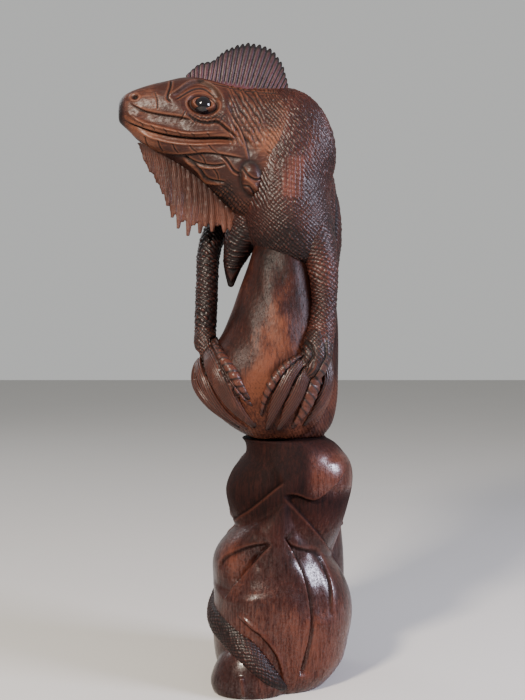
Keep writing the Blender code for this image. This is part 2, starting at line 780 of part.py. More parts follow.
def pegged(name, diameter, start, end, *hosts):
    """A peg between two template points, and its hosts, each with a blind hole for it."""
    start, end = placed(*start), placed(*end)
    turn = (end - start).to_track_quat("Z", "Y").to_matrix().to_4x4()
    rods = []
    for extra in (0.0, PEG_CLEARANCE * MM):
        radius = diameter / 2.0 * MM + extra
        depth = (end - start).length + 2.0 * extra
        bpy.ops.mesh.primitive_cylinder_add(vertices=16, radius=radius, depth=depth)
        rod = bpy.context.object
        rod.matrix_world = Matrix.Translation((start + end) / 2.0) @ turn
        move_to_helpers(rod)
        rods.append(meshed(rod))
    peg, drill = rods
    drilled = [largest_body(boolean(host, drill, "DIFFERENCE")) for host in hosts]
    bpy.data.objects.remove(drill)
    finished(peg, name, bpy.data.materials["bare_wood"])
    return drilled


def forelegs(torso, head, dewlap, perch):
    """Both arms with their hands, each cut back to the pieces it touches."""
    ratio = LEG_THICKNESS / DRAWN_LEG
    perch_tree = surface_of(perch)
    right_hand = forefoot_shape("right_forefoot", perch_tree, RIGHT_FORELEG[-1], RIGHT_TOES)
    left_hand = forefoot_shape("left_forefoot", perch_tree, LEFT_FORELEG[-1], LEFT_TOES)
    right_hand, left_hand = fitted(right_hand, perch), fitted(left_hand, perch)
    right_arm = template_limb("right_foreleg", RIGHT_FORELEG, ratio, 3)
    left_arm = template_limb("left_foreleg", LEFT_FORELEG, ratio, 3)
    right_arm = fitted(right_arm, torso, head, dewlap, perch, right_hand)
    left_arm = fitted(left_arm, torso, perch, left_hand)
    return right_arm, left_arm, right_hand, left_hand


def build():
    """Makes every piece, fits it to its neighbours and pegs it in place."""
    clear_scene()
    dark = stain("stain_dark", STAIN_DARK)
    red = stain("stain_red", STAIN_RED, 0.25)
    plum = stain("stain_plum", STAIN_PLUM)
    pale = stain("stain_pale", STAIN_PALE)
    stain("bare_wood", BARE_WOOD, 0.7)
    bead = stain("bead_black", BEAD_BLACK, 0.05)

    plinth, perch = plinth_shape(), perch_shape()
    plinth_tree = surface_of(plinth)
    tail = tail_shape(plinth_tree)
    head = head_shape()
    head_tree = surface_of(head)
    head_side, body_side = half_space("head_side", True), half_space("body_side", False)
    head = boolean(head, body_side, "DIFFERENCE")
    torso = boolean(torso_shape(), head_side, "DIFFERENCE")
    for block in (head_side, body_side):
        bpy.data.objects.remove(block)

    crest, dewlap = crest_shape(), dewlap_shape()
    left_eye = eye_shape("left_eye", head_tree, -1.0)
    right_eye = eye_shape("right_eye", head_tree, 1.0)
    head = fitted(head, crest, dewlap, left_eye, right_eye)
    torso = fitted(torso, perch, plinth, crest, dewlap)
    right_arm, left_arm, right_hand, left_hand = forelegs(torso, head, dewlap, perch)
    tail = fitted(tail, torso)
    left_leg = hindleg_shape("left_hindleg", plinth_tree, LEFT_HINDLEG, LEFT_HIND_TOES)
    right_leg = hindleg_shape("right_hindleg", plinth_tree, RIGHT_HINDLEG, RIGHT_HIND_TOES)
    left_leg = fitted(left_leg, torso, plinth, perch, tail)
    right_leg = fitted(right_leg, torso, plinth, perch, tail)
    plinth = fitted(plinth, tail)

    dowel, thin = DOWEL_DIAMETER, PEG_DIAMETER
    plinth, perch = pegged("plinth_dowel", dowel, (3.0, 2.0, 128.0), (3.0, 2.0, 172.0), plinth, perch)
    perch, torso = pegged("perch_dowel", dowel, (6.0, 6.0, 248.0), (6.0, 6.0, 302.0), perch, torso)
    head, torso = pegged("neck_dowel", dowel, (-38.0, -6.0, 336.0), (8.0, 1.0, 328.0), head, torso)
    torso, plinth = pegged("hip_dowel", dowel, (4.0, 52.0, 133.0), (4.0, 22.0, 129.0), torso, plinth)
    start, end = (19.0, -8.0, 278.0), (26.0, -16.5, 250.0)
    torso, left_arm = pegged("left_shoulder_peg", thin, start, end, torso, left_arm)
    start, end = (-4.0, 21.0, 296.5), (-29.0, 22.4, 289.5)
    torso, right_arm = pegged("right_shoulder_peg", thin, start, end, torso, right_arm)
    start, end = (24.8, -24.0, 220.0), (22.0, -30.5, 207.0)
    left_arm, left_hand = pegged("left_wrist_peg", thin, start, end, left_arm, left_hand)
    start, end = (-47.7, -4.0, 223.0), (-48.2, -7.0, 208.0)
    right_arm, right_hand = pegged("right_wrist_peg", thin, start, end, right_arm, right_hand)
    start, end = (2.0, 49.0, 140.0), (23.0, 47.5, 139.5)
    torso, left_leg = pegged("left_hip_peg", thin, start, end, torso, left_leg)
    start, end = (-4.0, 48.5, 129.0), (-21.0, 46.5, 121.5)
    torso, right_leg = pegged("right_hip_peg", thin, start, end, torso, right_leg)
    start, end = (-8.5, 41.5, 112.0), (-11.5, 38.0, 88.0)
    torso, tail = pegged("tail_peg", thin, start, end, torso, tail)

    finished(plinth, "plinth", red)
    finished(perch, "perch", red)
    finished(torso, "torso", dark)
    finished(head, "head", dark)
    finished(crest, "crest", plum)
    finished(dewlap, "dewlap", pale)
    finished(left_eye, "left_eye", bead)
    finished(right_eye, "right_eye", bead)
    finished(right_arm, "right_foreleg", dark)
    finished(left_arm, "left_foreleg", dark)
    finished(right_hand, "right_forefoot", red)
    finished(left_hand, "left_forefoot", red)
    finished(right_leg, "right_hindleg", dark)
    finished(left_leg, "left_hindleg", dark)
    finished(tail, "tail", dark)


build()
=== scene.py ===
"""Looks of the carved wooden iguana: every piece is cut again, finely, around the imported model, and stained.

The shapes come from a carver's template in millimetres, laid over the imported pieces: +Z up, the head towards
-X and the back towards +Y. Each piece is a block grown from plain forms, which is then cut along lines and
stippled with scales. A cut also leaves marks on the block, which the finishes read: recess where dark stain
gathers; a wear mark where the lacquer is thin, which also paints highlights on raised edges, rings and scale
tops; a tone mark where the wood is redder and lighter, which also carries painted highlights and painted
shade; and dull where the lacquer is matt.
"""

import logging
import math
from dataclasses import dataclass, field
from enum import Enum
from typing import Iterable, Sequence

import bpy
import numpy as np
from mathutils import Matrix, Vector
from mathutils.bvhtree import BVHTree


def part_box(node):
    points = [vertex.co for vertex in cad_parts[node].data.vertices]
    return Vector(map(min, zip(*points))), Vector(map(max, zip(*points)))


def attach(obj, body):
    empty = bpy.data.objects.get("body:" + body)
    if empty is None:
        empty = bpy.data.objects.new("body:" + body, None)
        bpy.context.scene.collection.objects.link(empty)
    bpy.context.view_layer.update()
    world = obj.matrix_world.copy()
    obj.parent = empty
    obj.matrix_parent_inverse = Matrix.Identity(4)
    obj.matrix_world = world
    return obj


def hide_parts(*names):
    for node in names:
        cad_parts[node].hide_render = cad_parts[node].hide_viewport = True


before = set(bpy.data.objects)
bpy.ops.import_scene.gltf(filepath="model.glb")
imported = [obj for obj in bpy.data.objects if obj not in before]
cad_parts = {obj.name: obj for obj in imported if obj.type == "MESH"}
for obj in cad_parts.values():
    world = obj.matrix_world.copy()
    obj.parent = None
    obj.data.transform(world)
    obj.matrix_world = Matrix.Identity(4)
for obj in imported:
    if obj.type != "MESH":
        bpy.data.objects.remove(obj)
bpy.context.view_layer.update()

LOG = logging.getLogger("carving")
MM = 0.001
BODY = "root"
# The marks: stain in the cuts; wear, which also paints highlights; tone, which also carries painted light and
# shade; matt lacquer.
MARKS = ("recess", "wear_and_highlight", "tone_and_painted_light", "dull")
CLEAR = 0.3  # Metres from the middle, well outside the carving.
Row = tuple[float, ...]
Line = Sequence[tuple[float, float]]


class Grain(Enum):
    """Which way the wood's fibres run."""

    UPRIGHT = (1.0, 1.0, 0.11)
    LENGTHWISE = (0.16, 1.0, 1.0)


# ------------------------------------------------------------------------------
# The template
# ------------------------------------------------------------------------------


def smooth(points: Sequence[Row], steps: int) -> np.ndarray:
    """Reads a Catmull-Rom curve through points.

    Args:
        points: The points, each a tuple of as many numbers.
        steps: Stretches between each two points.

    Returns:
        The curve's points, one row each.
    """
    given = np.array(points, float)
    padded = np.vstack([given[:1], given, given[-1:]])
    t = np.linspace(0.0, 1.0, steps, endpoint=False)[:, None]
    weights = (
        -0.5 * t + t**2 - 0.5 * t**3,
        1.0 - 2.5 * t**2 + 1.5 * t**3,
        0.5 * t + 2.0 * t**2 - 1.5 * t**3,
        -0.5 * t**2 + 0.5 * t**3,
    )
    made = [sum(w * padded[i + k] for k, w in enumerate(weights)) for i in range(len(given) - 1)]
    return np.vstack([*made, given[-1:]])


@dataclass
class Template:
    """The carver's drawing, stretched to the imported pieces."""

    seam: float = 150.0
    crown: float = 280.0
    drawn_width: float = 89.6
    drawn_depth: float = 90.6
    neck_x: float = -2.0
    turn: float = math.atan(0.16)
    above_crown: float = 200.0
    stretch: np.ndarray = field(init=False)
    drawn_levels: np.ndarray = field(init=False)
    levels: np.ndarray = field(init=False)

    def __post_init__(self) -> None:
        """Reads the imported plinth's and perch's sizes."""
        low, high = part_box("plinth")
        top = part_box("perch")[1].z
        drawn = np.array([self.drawn_width, self.drawn_depth]) * MM
        self.stretch = np.array([high.x - low.x, high.y - low.y]) / drawn
        self.drawn_levels = np.array([0.0, self.seam, self.crown, self.crown + self.above_crown])
        self.levels = np.array([0.0, high.z, top, top + self.above_crown * MM])

    def place(self, points: np.ndarray) -> np.ndarray:
        """Takes template points (x, y, z) to the row frame, in metres."""
        points = np.asarray(points, float)
        level = np.interp(points[..., 2], self.drawn_levels, self.levels)
        return np.concatenate([points[..., :2] * self.stretch * MM, level[..., None]], -1)

    def read(self, points: np.ndarray) -> np.ndarray:
        """Takes row frame points back to the template."""
        level = np.interp(points[..., 2], self.levels, self.drawn_levels)
        return np.concatenate([points[..., :2] / self.stretch / MM, level[..., None]], -1)

    def head_place(self, points: np.ndarray) -> np.ndarray:
        """Takes head points (x, side, z) to the row frame: side is how far from the head's middle plane."""
        points = np.asarray(points, float)
        along, side = points[..., 0] - self.neck_x, points[..., 1]
        c, s = math.cos(self.turn), math.sin(self.turn)
        turned = np.stack([self.neck_x + along * c - side * s, along * s + side * c, points[..., 2]], -1)
        return self.place(turned)

    def head_read(self, points: np.ndarray) -> np.ndarray:
        """Takes row frame points to the head's (x, side, z)."""
        flat = self.read(points)
        along, side = flat[..., 0] - self.neck_x, flat[..., 1]
        c, s = math.cos(self.turn), math.sin(self.turn)
        return np.stack([self.neck_x + along * c + side * s, side * c - along * s, flat[..., 2]], -1)


# ------------------------------------------------------------------------------
# Shader maths
# ------------------------------------------------------------------------------


class Value:
    """A shader socket on which Python expressions can be written."""

    def __init__(self, graph: "Graph", socket: bpy.types.NodeSocket) -> None:
        """Wraps a socket of a graph."""
        self.graph = graph
        self.socket = socket

    def maths(self, operation: str, *operands: "Value | float", clamp: bool = False) -> "Value":
        """Adds a Math node.

        Args:
            operation: The Math node's operation.
            operands: Its inputs, in order.
            clamp: Whether the result is kept from 0 to 1.

        Returns:
            The node's result.
        """
        settings = {"operation": operation, "use_clamp": clamp}
        return self.graph.node("ShaderNodeMath", settings, dict(enumerate(operands)), 0)

    def __add__(self, other: "Value | float") -> "Value":
        """Sum."""
        return self.maths("ADD", self, other)

    __radd__ = __add__

    def __sub__(self, other: "Value | float") -> "Value":
        """Difference."""
        return self.maths("SUBTRACT", self, other)

    def __rsub__(self, other: "Value | float") -> "Value":
        """Difference from a number."""
        return self.maths("SUBTRACT", other, self)

    def __mul__(self, other: "Value | float") -> "Value":
        """Product."""
        return self.maths("MULTIPLY", self, other)

    __rmul__ = __mul__

    def clamped(self) -> "Value":
        """The value, kept from 0 to 1."""
        return self.maths("ADD", self, 0.0, clamp=True)

    def between(self, low: float, high: float) -> "Value":
        """0 at low, 1 at high, and smooth in between."""
        inputs = {"Value": self, "From Min": low, "From Max": high}
        return self.graph.node("ShaderNodeMapRange", {"interpolation_type": "SMOOTHSTEP"}, inputs, 0)


class Graph:
    """A material's node tree."""

    def __init__(self, name: str) -> None:
        """Starts a material of that name with its Principled shader."""
        self.material = bpy.data.materials.new(name)
        self.material.use_nodes = True
        self.tree = self.material.node_tree
        self.shader = self.tree.nodes["Principled BSDF"]

    def node(self, kind: str, settings: dict, inputs: dict, output: int | str = 0) -> Value:
        """Adds a node.

        Args:
            kind: The node's type.
            settings: Its own properties, set first. A ramp's stops are given under "stops".
            inputs: Values or links, by the socket's name or number.
            output: The socket that is wanted.

        Returns:
            That output.
        """
        made = self.tree.nodes.new(kind)
        for name, value in settings.items():
            if name == "stops":
                self._stops(made.color_ramp, value)
            else:
                setattr(made, name, value)
        for name, value in inputs.items():
            self.feed(made.inputs[name], value)
        return Value(self, made.outputs[output])

    def feed(self, socket: bpy.types.NodeSocket, value: object) -> None:
        """Links a value to a socket, or sets the socket to it."""
        if isinstance(value, Value):
            self.tree.links.new(value.socket, socket)
        else:
            socket.default_value = value

    @staticmethod
    def _stops(ramp: bpy.types.ColorRamp, stops: Sequence[tuple[float, Row]]) -> None:
        """Sets a ramp's stops, as (place, colour)."""
        while len(ramp.elements) < len(stops):
            ramp.elements.new(1.0)
        for element, (place, colour) in zip(ramp.elements, stops):
            element.position = place
            element.color = (*colour, 1.0)

    def mark(self, name: str) -> Value:
        """A mark that the cutting left on the piece's points."""
        return self.node("ShaderNodeAttribute", {"attribute_name": name}, {}, "Fac")

    def place(self) -> Value:
        """Where a point is on the piece."""
        return self.node("ShaderNodeTexCoord", {}, {}, "Object")

    def stretched(self, place: Value, scale: Row, turn: Row) -> Value:
        """A place, turned and scaled."""
        return self.node("ShaderNodeMapping", {}, {"Vector": place, "Rotation": turn, "Scale": scale})

    def noise(
        self, place: Value, scale: float, detail: float, rough: float = 0.5, warp: float = 0.0
    ) -> Value:
        """A noise value."""
        inputs = {"Vector": place, "Scale": scale, "Detail": detail, "Roughness": rough, "Distortion": warp}
        return self.node("ShaderNodeTexNoise", {}, inputs, 0)

    def mix(self, share: Value | float, below: Value | Row, above: Value | Row) -> Value:
        """Mixes two colours."""
        below = below if isinstance(below, Value) else (*below, 1.0)
        above = above if isinstance(above, Value) else (*above, 1.0)
        return self.node("ShaderNodeMix", {"data_type": "RGBA"}, {0: share, 6: below, 7: above}, 2)

    def finish(self, **sockets: object) -> bpy.types.Material:
        """Feeds the shader's sockets, whose names are given with underscores for spaces."""
        for name, value in sockets.items():
            self.feed(self.shader.inputs[name.replace("_", " ")], value)
        return self.material


# ------------------------------------------------------------------------------
# Finishes
# ------------------------------------------------------------------------------


# How fine the wood's features are, in waves a metre.
FIBRES, BANDS, PORES = 850.0, 130.0, 1900.0
BLOTCHES, DENTS, SPECKS, TOOL_MARKS = 32.0, 900.0, 1150.0, 330.0
FIBRE_LEAN = (0.06, 0.09, 0.0)
BUMP_STRENGTH = 0.6
BUMP_DEPTH = 0.4 * MM
LACQUER_ROUGHNESS = 0.22


@dataclass(frozen=True)
class StainedWood:
    """Stained hardwood under lacquer, whose stain is darkest in the cuts.

    The colours go from the darkest wood to the palest, and groove is the stain in the cuts. The numbers from
    streaks on say how strongly the fibres, dents, tool marks, rubbing and painted highlights, gloss and
    blotches show.
    """

    name: str
    slot: str
    deep: Row
    middle: Row
    pale: Row
    groove: Row
    roughness: float
    grain: Grain = Grain.UPRIGHT
    coat: float = 0.0
    streaks: float = 0.4
    stipple: float = 0.35
    facets: float = 0.5
    wear_and_highlight_amount: float = 0.5
    shine: float = 0.2
    uneven: float = 0.45

    def material(self) -> bpy.types.Material:
        """Builds the finish."""
        g = Graph(self.name)
        place = g.place()
        recess, wear_and_highlight, tone_and_painted_light, dull = (g.mark(name) for name in MARKS)
        grain = g.noise(self.along(g, place, FIBRES, FIBRE_LEAN), 1.0, 5.0, 0.62, 0.4)
        bands = g.noise(self.along(g, place, BANDS), 1.0, 3.0, 0.5, 1.2)
        pores = g.noise(self.along(g, place, PORES), 1.0, 2.0).between(0.6, 0.72)
        blotches = g.noise(place, BLOTCHES, 2.0)
        dents = g.noise(place, DENTS, 2.0, 0.6)
        specks = g.noise(place, SPECKS, 2.0).between(0.4, 0.62)
        tool = {"Vector": place, "Scale": TOOL_MARKS, "Smoothness": 0.4}
        marks = g.node("ShaderNodeTexVoronoi", {"feature": "SMOOTH_F1"}, tool)
        # The tone mark moves the colour along the ramp: the wood's tone, and also painted light and painted
        # shade.
        shade = (grain * self.streaks + bands * 0.32 + blotches * self.uneven + tone_and_painted_light * 0.5 - 0.1).clamped()
        stops = [(0.18, self.deep), (0.52, self.middle), (0.86, self.pale)]
        colour = g.node("ShaderNodeValToRGB", {"stops": stops}, {"Fac": shade})
        # Wear and painted highlights are mixed towards the palest colour.
        colour = g.mix((wear_and_highlight * self.wear_and_highlight_amount).clamped(), colour, self.pale)
        colour = g.mix(pores * 0.45, colour, self.deep)
        colour = g.mix((recess * 0.92).clamped(), colour, self.groove)
        rough = dull * 0.4 + recess * 0.3 + dents * 0.16 + pores * 0.12 + (self.roughness - 0.08)
        speckle = specks * 0.6 + grain.between(0.35, 0.6) * 0.4
        coat = speckle * self.coat - (recess * 0.75 + dull) * self.coat
        height = grain * 0.45 + dents * self.stipple - pores * 0.4 + marks * self.facets
        bump = {"Strength": BUMP_STRENGTH, "Distance": BUMP_DEPTH, "Height": height}
        return g.finish(
            Base_Color=colour,
            Roughness=rough.clamped(),
            Coat_Weight=coat.clamped(),
            Coat_Roughness=LACQUER_ROUGHNESS,
            Specular_IOR_Level=self.shine,
            Normal=g.node("ShaderNodeBump", {}, bump),
        )

    def along(self, g: Graph, place: Value, waves: float, lean: Row = (0.0, 0.0, 0.0)) -> Value:
        """A place scaled to so many waves a metre, and drawn out along the fibres."""
        return g.stretched(place, tuple(waves * share for share in self.grain.value), lean)


@dataclass(frozen=True)
class BareWood:
    """The pale wood of a dowel, cut but not stained."""

    name: str
    slot: str
    pale: Row = (0.47, 0.31, 0.17)
    deep: Row = (0.30, 0.18, 0.09)

    def material(self) -> bpy.types.Material:
        """Builds the finish."""
        g = Graph(self.name)
        place = g.place()
        grain = g.noise(g.stretched(place, (900.0, 900.0, 110.0), (0.0, 0.0, 0.0)), 1.0, 4.0, 0.6)
        colour = g.mix(grain.between(0.3, 0.7), self.deep, self.pale)
        bump = g.node("ShaderNodeBump", {}, {"Strength": 0.3, "Distance": 0.0001, "Height": grain})
        return g.finish(Base_Color=colour, Roughness=(grain * 0.2 + 0.55).clamped(), Normal=bump)


@dataclass(frozen=True)
class PolishedBead:
    """A black glass-like bead, brown where the light goes through its edge."""

    name: str
    slot: str
    core: Row = (0.003, 0.002, 0.003)
    rim: Row = (0.09, 0.035, 0.012)

    def material(self) -> bpy.types.Material:
        """Builds the finish."""
        g = Graph(self.name)
        cloud = g.noise(g.place(), 420.0, 3.0, 0.6)
        colour = g.mix(cloud.between(0.6, 0.85), self.core, self.rim)
        return g.finish(
            Base_Color=colour,
            Roughness=(cloud * 0.08 + 0.08).clamped(),
            Coat_Weight=0.25,
            Coat_Roughness=0.05,
            Specular_IOR_Level=0.35,
        )


Finish = StainedWood | BareWood | PolishedBead


# ------------------------------------------------------------------------------
# Forms and cutting
# ------------------------------------------------------------------------------


ROW_STEPS = 6  # Sections between each two rows of a table.
LINE_STEPS = 4  # Stretches between each two points of a cut line.
TRUNK_SIDES = 96
CAP_TURNS = (0.4, 0.8, 1.1, 1.35)
SLANTED = (0.3, 0.9, 0.2)  # A direction that no limb starts in.


def superellipse(sides: int, power: float) -> np.ndarray:
    """Points of the unit superellipse, anticlockwise: a circle at power 2, squarer above it."""
    angle = np.linspace(0.0, 2.0 * math.pi, sides, endpoint=False)
    c, s = np.cos(angle), np.sin(angle)
    k = 2.0 / power
    return np.stack([np.sign(c) * np.abs(c) ** k, np.sign(s) * np.abs(s) ** k], -1)


@dataclass
class Form:
    """A closed mesh as arrays."""

    points: np.ndarray
    faces: list[tuple[int, ...]]

    @classmethod
    def loft(cls, rings: np.ndarray) -> "Form":
        """Closes a form through rings, an array of (ring, point, 3), with a fan at each end."""
        count, sides = rings.shape[:2]
        points = np.vstack([rings.reshape(-1, 3), rings[0].mean(0), rings[-1].mean(0)])
        ids = np.arange(count * sides).reshape(count, sides)
        after = np.roll(ids, -1, 1)
        quads = np.stack([ids[:-1], after[:-1], after[1:], ids[1:]], -1).reshape(-1, 4)
        first, last = count * sides, count * sides + 1
        fans = [(first, b, a) for a, b in zip(ids[0].tolist(), after[0].tolist())]
        fans += [(last, a, b) for a, b in zip(ids[-1].tolist(), after[-1].tolist())]
        return cls(points, [*map(tuple, quads.tolist()), *fans])


def stack(template: Template, rows: Sequence[Row], power: float = 2.2) -> Form:
    """A trunk-like form.

    Args:
        template: Where the rows are drawn.
        rows: Level sections as (z, left x, right x, front y, back y).
        power: The sections' superellipse power.

    Returns:
        The form.
    """
    z, left, right, front, back = smooth(rows, ROW_STEPS).T[:, :, None]
    unit = superellipse(TRUNK_SIDES, power)
    x = (left + right) / 2.0 + unit[:, 0] * (right - left) / 2.0
    y = (front + back) / 2.0 + unit[:, 1] * (back - front) / 2.0
    return Form.loft(template.place(np.stack([x, y, np.broadcast_to(z, x.shape)], -1)))


class Bone:
    """A limb's middle line in the row frame, with its radius in millimetres."""

    def __init__(self, places: np.ndarray, radii: np.ndarray, ups: np.ndarray | None = None) -> None:
        """Works out the line's length and a steady frame along it, whose up follows ups if they are given."""
        self.places = places
        self.radii = radii
        steps = np.linalg.norm(np.diff(places, axis=0), axis=1) / MM
        self.length = np.concatenate([[0.0], np.cumsum(steps)])
        along = np.gradient(places, axis=0)
        self.along = along / np.linalg.norm(along, axis=1)[:, None]
        across = np.cross(self.along[0], SLANTED)
        frames = []
        for way in self.along:
            across = across - way * np.dot(across, way)
            across = across / np.linalg.norm(across)
            frames.append(across)
        self.across = np.array(frames)
        if ups is not None:
            across = np.cross(ups, self.along)
            self.across = across / np.linalg.norm(across, axis=1)[:, None]
        self.up = np.cross(self.along, self.across)

    def tube(self, sides: int = 40, swell: np.ndarray | float = 1.0, flat: float = 1.0) -> Form:
        """A round form along the bone, with its radii times swell, and flat times as thick as it is wide."""
        angle = np.linspace(0.0, 2.0 * math.pi, sides, endpoint=False)
        ways = self.across[:, None] * np.cos(angle)[:, None]
        ways = ways + self.up[:, None] * np.sin(angle)[:, None] * flat
        reach = (self.radii * swell * MM)[:, None, None]
        rings = self.places[:, None] + ways * reach
        return Form.loft(self.capped(rings))

    def capped(self, rings: np.ndarray) -> np.ndarray:
        """The rings with a round end at each end."""
        caps = []
        for end, sign in ((0, -1.0), (-1, 1.0)):
            middle, out = self.places[end], rings[end] - self.places[end]
            way = self.along[end] * sign * np.linalg.norm(out, axis=1).mean()
            caps.append(np.array([middle + out * math.cos(a) + way * math.sin(a) for a in CAP_TURNS]))
        return np.concatenate([caps[0][::-1], rings, caps[1]])

    def chart(self, points: np.ndarray) -> tuple[np.ndarray, np.ndarray, np.ndarray]:
        """Where points lie along and round the bone.

        Args:
            points: Row frame points.

        Returns:
            Millimetres along, millimetres round at the nearest radius, and metres from the line.
        """
        best = np.full(len(points), np.inf)
        where = np.zeros(len(points), int)
        for k, place in enumerate(self.places):
            far = np.linalg.norm(points - place, axis=1)
            near = far < best
            best[near] = far[near]
            where[near] = k
        out = points - self.places[where]
        lengthwise, up, across = (
            np.einsum("ij,ij->i", out, ways[where]) for ways in (self.along, self.up, self.across)
        )
        return self.length[where] + lengthwise / MM, np.arctan2(up, across) * self.radii[where], best


def bone(template: Template, path: Sequence[Row], steps: int = 6) -> Bone:
    """A bone through template points (x, y, z, radius)."""
    rows = smooth(path, steps)
    return Bone(template.place(rows[:, :3]), rows[:, 3])


def near_line(chart: np.ndarray, line: np.ndarray) -> tuple[np.ndarray, np.ndarray, np.ndarray]:
    """Measures points against a line in the same flat chart.

    Args:
        chart: The points, one row each.
        line: The line's points.

    Returns:
        Distance, share of the line's length at the nearest place, and 1 or -1 for its left or right side.
    """
    steps = np.diff(line, axis=0)
    lengths = np.linalg.norm(steps, axis=1)
    starts = np.concatenate([[0.0], np.cumsum(lengths)])
    best = np.full(len(chart), np.inf)
    share = np.zeros(len(chart))
    side = np.ones(len(chart))
    for start, step, length, before in zip(line, steps, lengths, starts):
        out = chart - start
        t = np.clip(out @ step / max(length**2, 1e-9), 0.0, 1.0)
        off = out - t[:, None] * step
        far = np.hypot(off[:, 0], off[:, 1])
        near = far < best
        best[near] = far[near]
        share[near] = (before + t[near] * length) / starts[-1]
        side[near] = np.where(step[0] * out[near, 1] - step[1] * out[near, 0] >= 0.0, 1.0, -1.0)
    return best, share, side


def ease(x: np.ndarray) -> np.ndarray:
    """Smooth step of x, kept from 0 to 1."""
    x = np.clip(x, 0.0, 1.0)
    return x * x * (3.0 - 2.0 * x)


def bell(x: np.ndarray) -> np.ndarray:
    """1 where x is 0, falling away softly to both sides."""
    return np.exp(-(x**2))


def running_out(share: np.ndarray, ends: float, start: float = 0.0) -> np.ndarray:
    """A cut's strength along its line: it grows from start over the share given by ends, at both ends."""
    return ease(np.minimum(share, 1.0 - share) / ends + start)


def cell_noise(i: np.ndarray, j: np.ndarray, seed: float = 0.0) -> np.ndarray:
    """A steady number from 0 to 1 for each cell of a grid."""
    return np.modf(np.abs(np.sin(i * 127.1 + j * 311.7 + seed * 74.7) * 43758.5453))[0]


@dataclass(frozen=True)
class Scales:
    """A pattern of small raised scales.

    size is the rows' spacing, height how far the scales stand up, slant how far the rows lean, rows how deep
    the cuts across the rows are next to those between them, and seed which chances the scales follow.
    """

    size: float
    height: float
    slant: float = 0.0
    rows: float = 0.6
    seed: float = 1.0


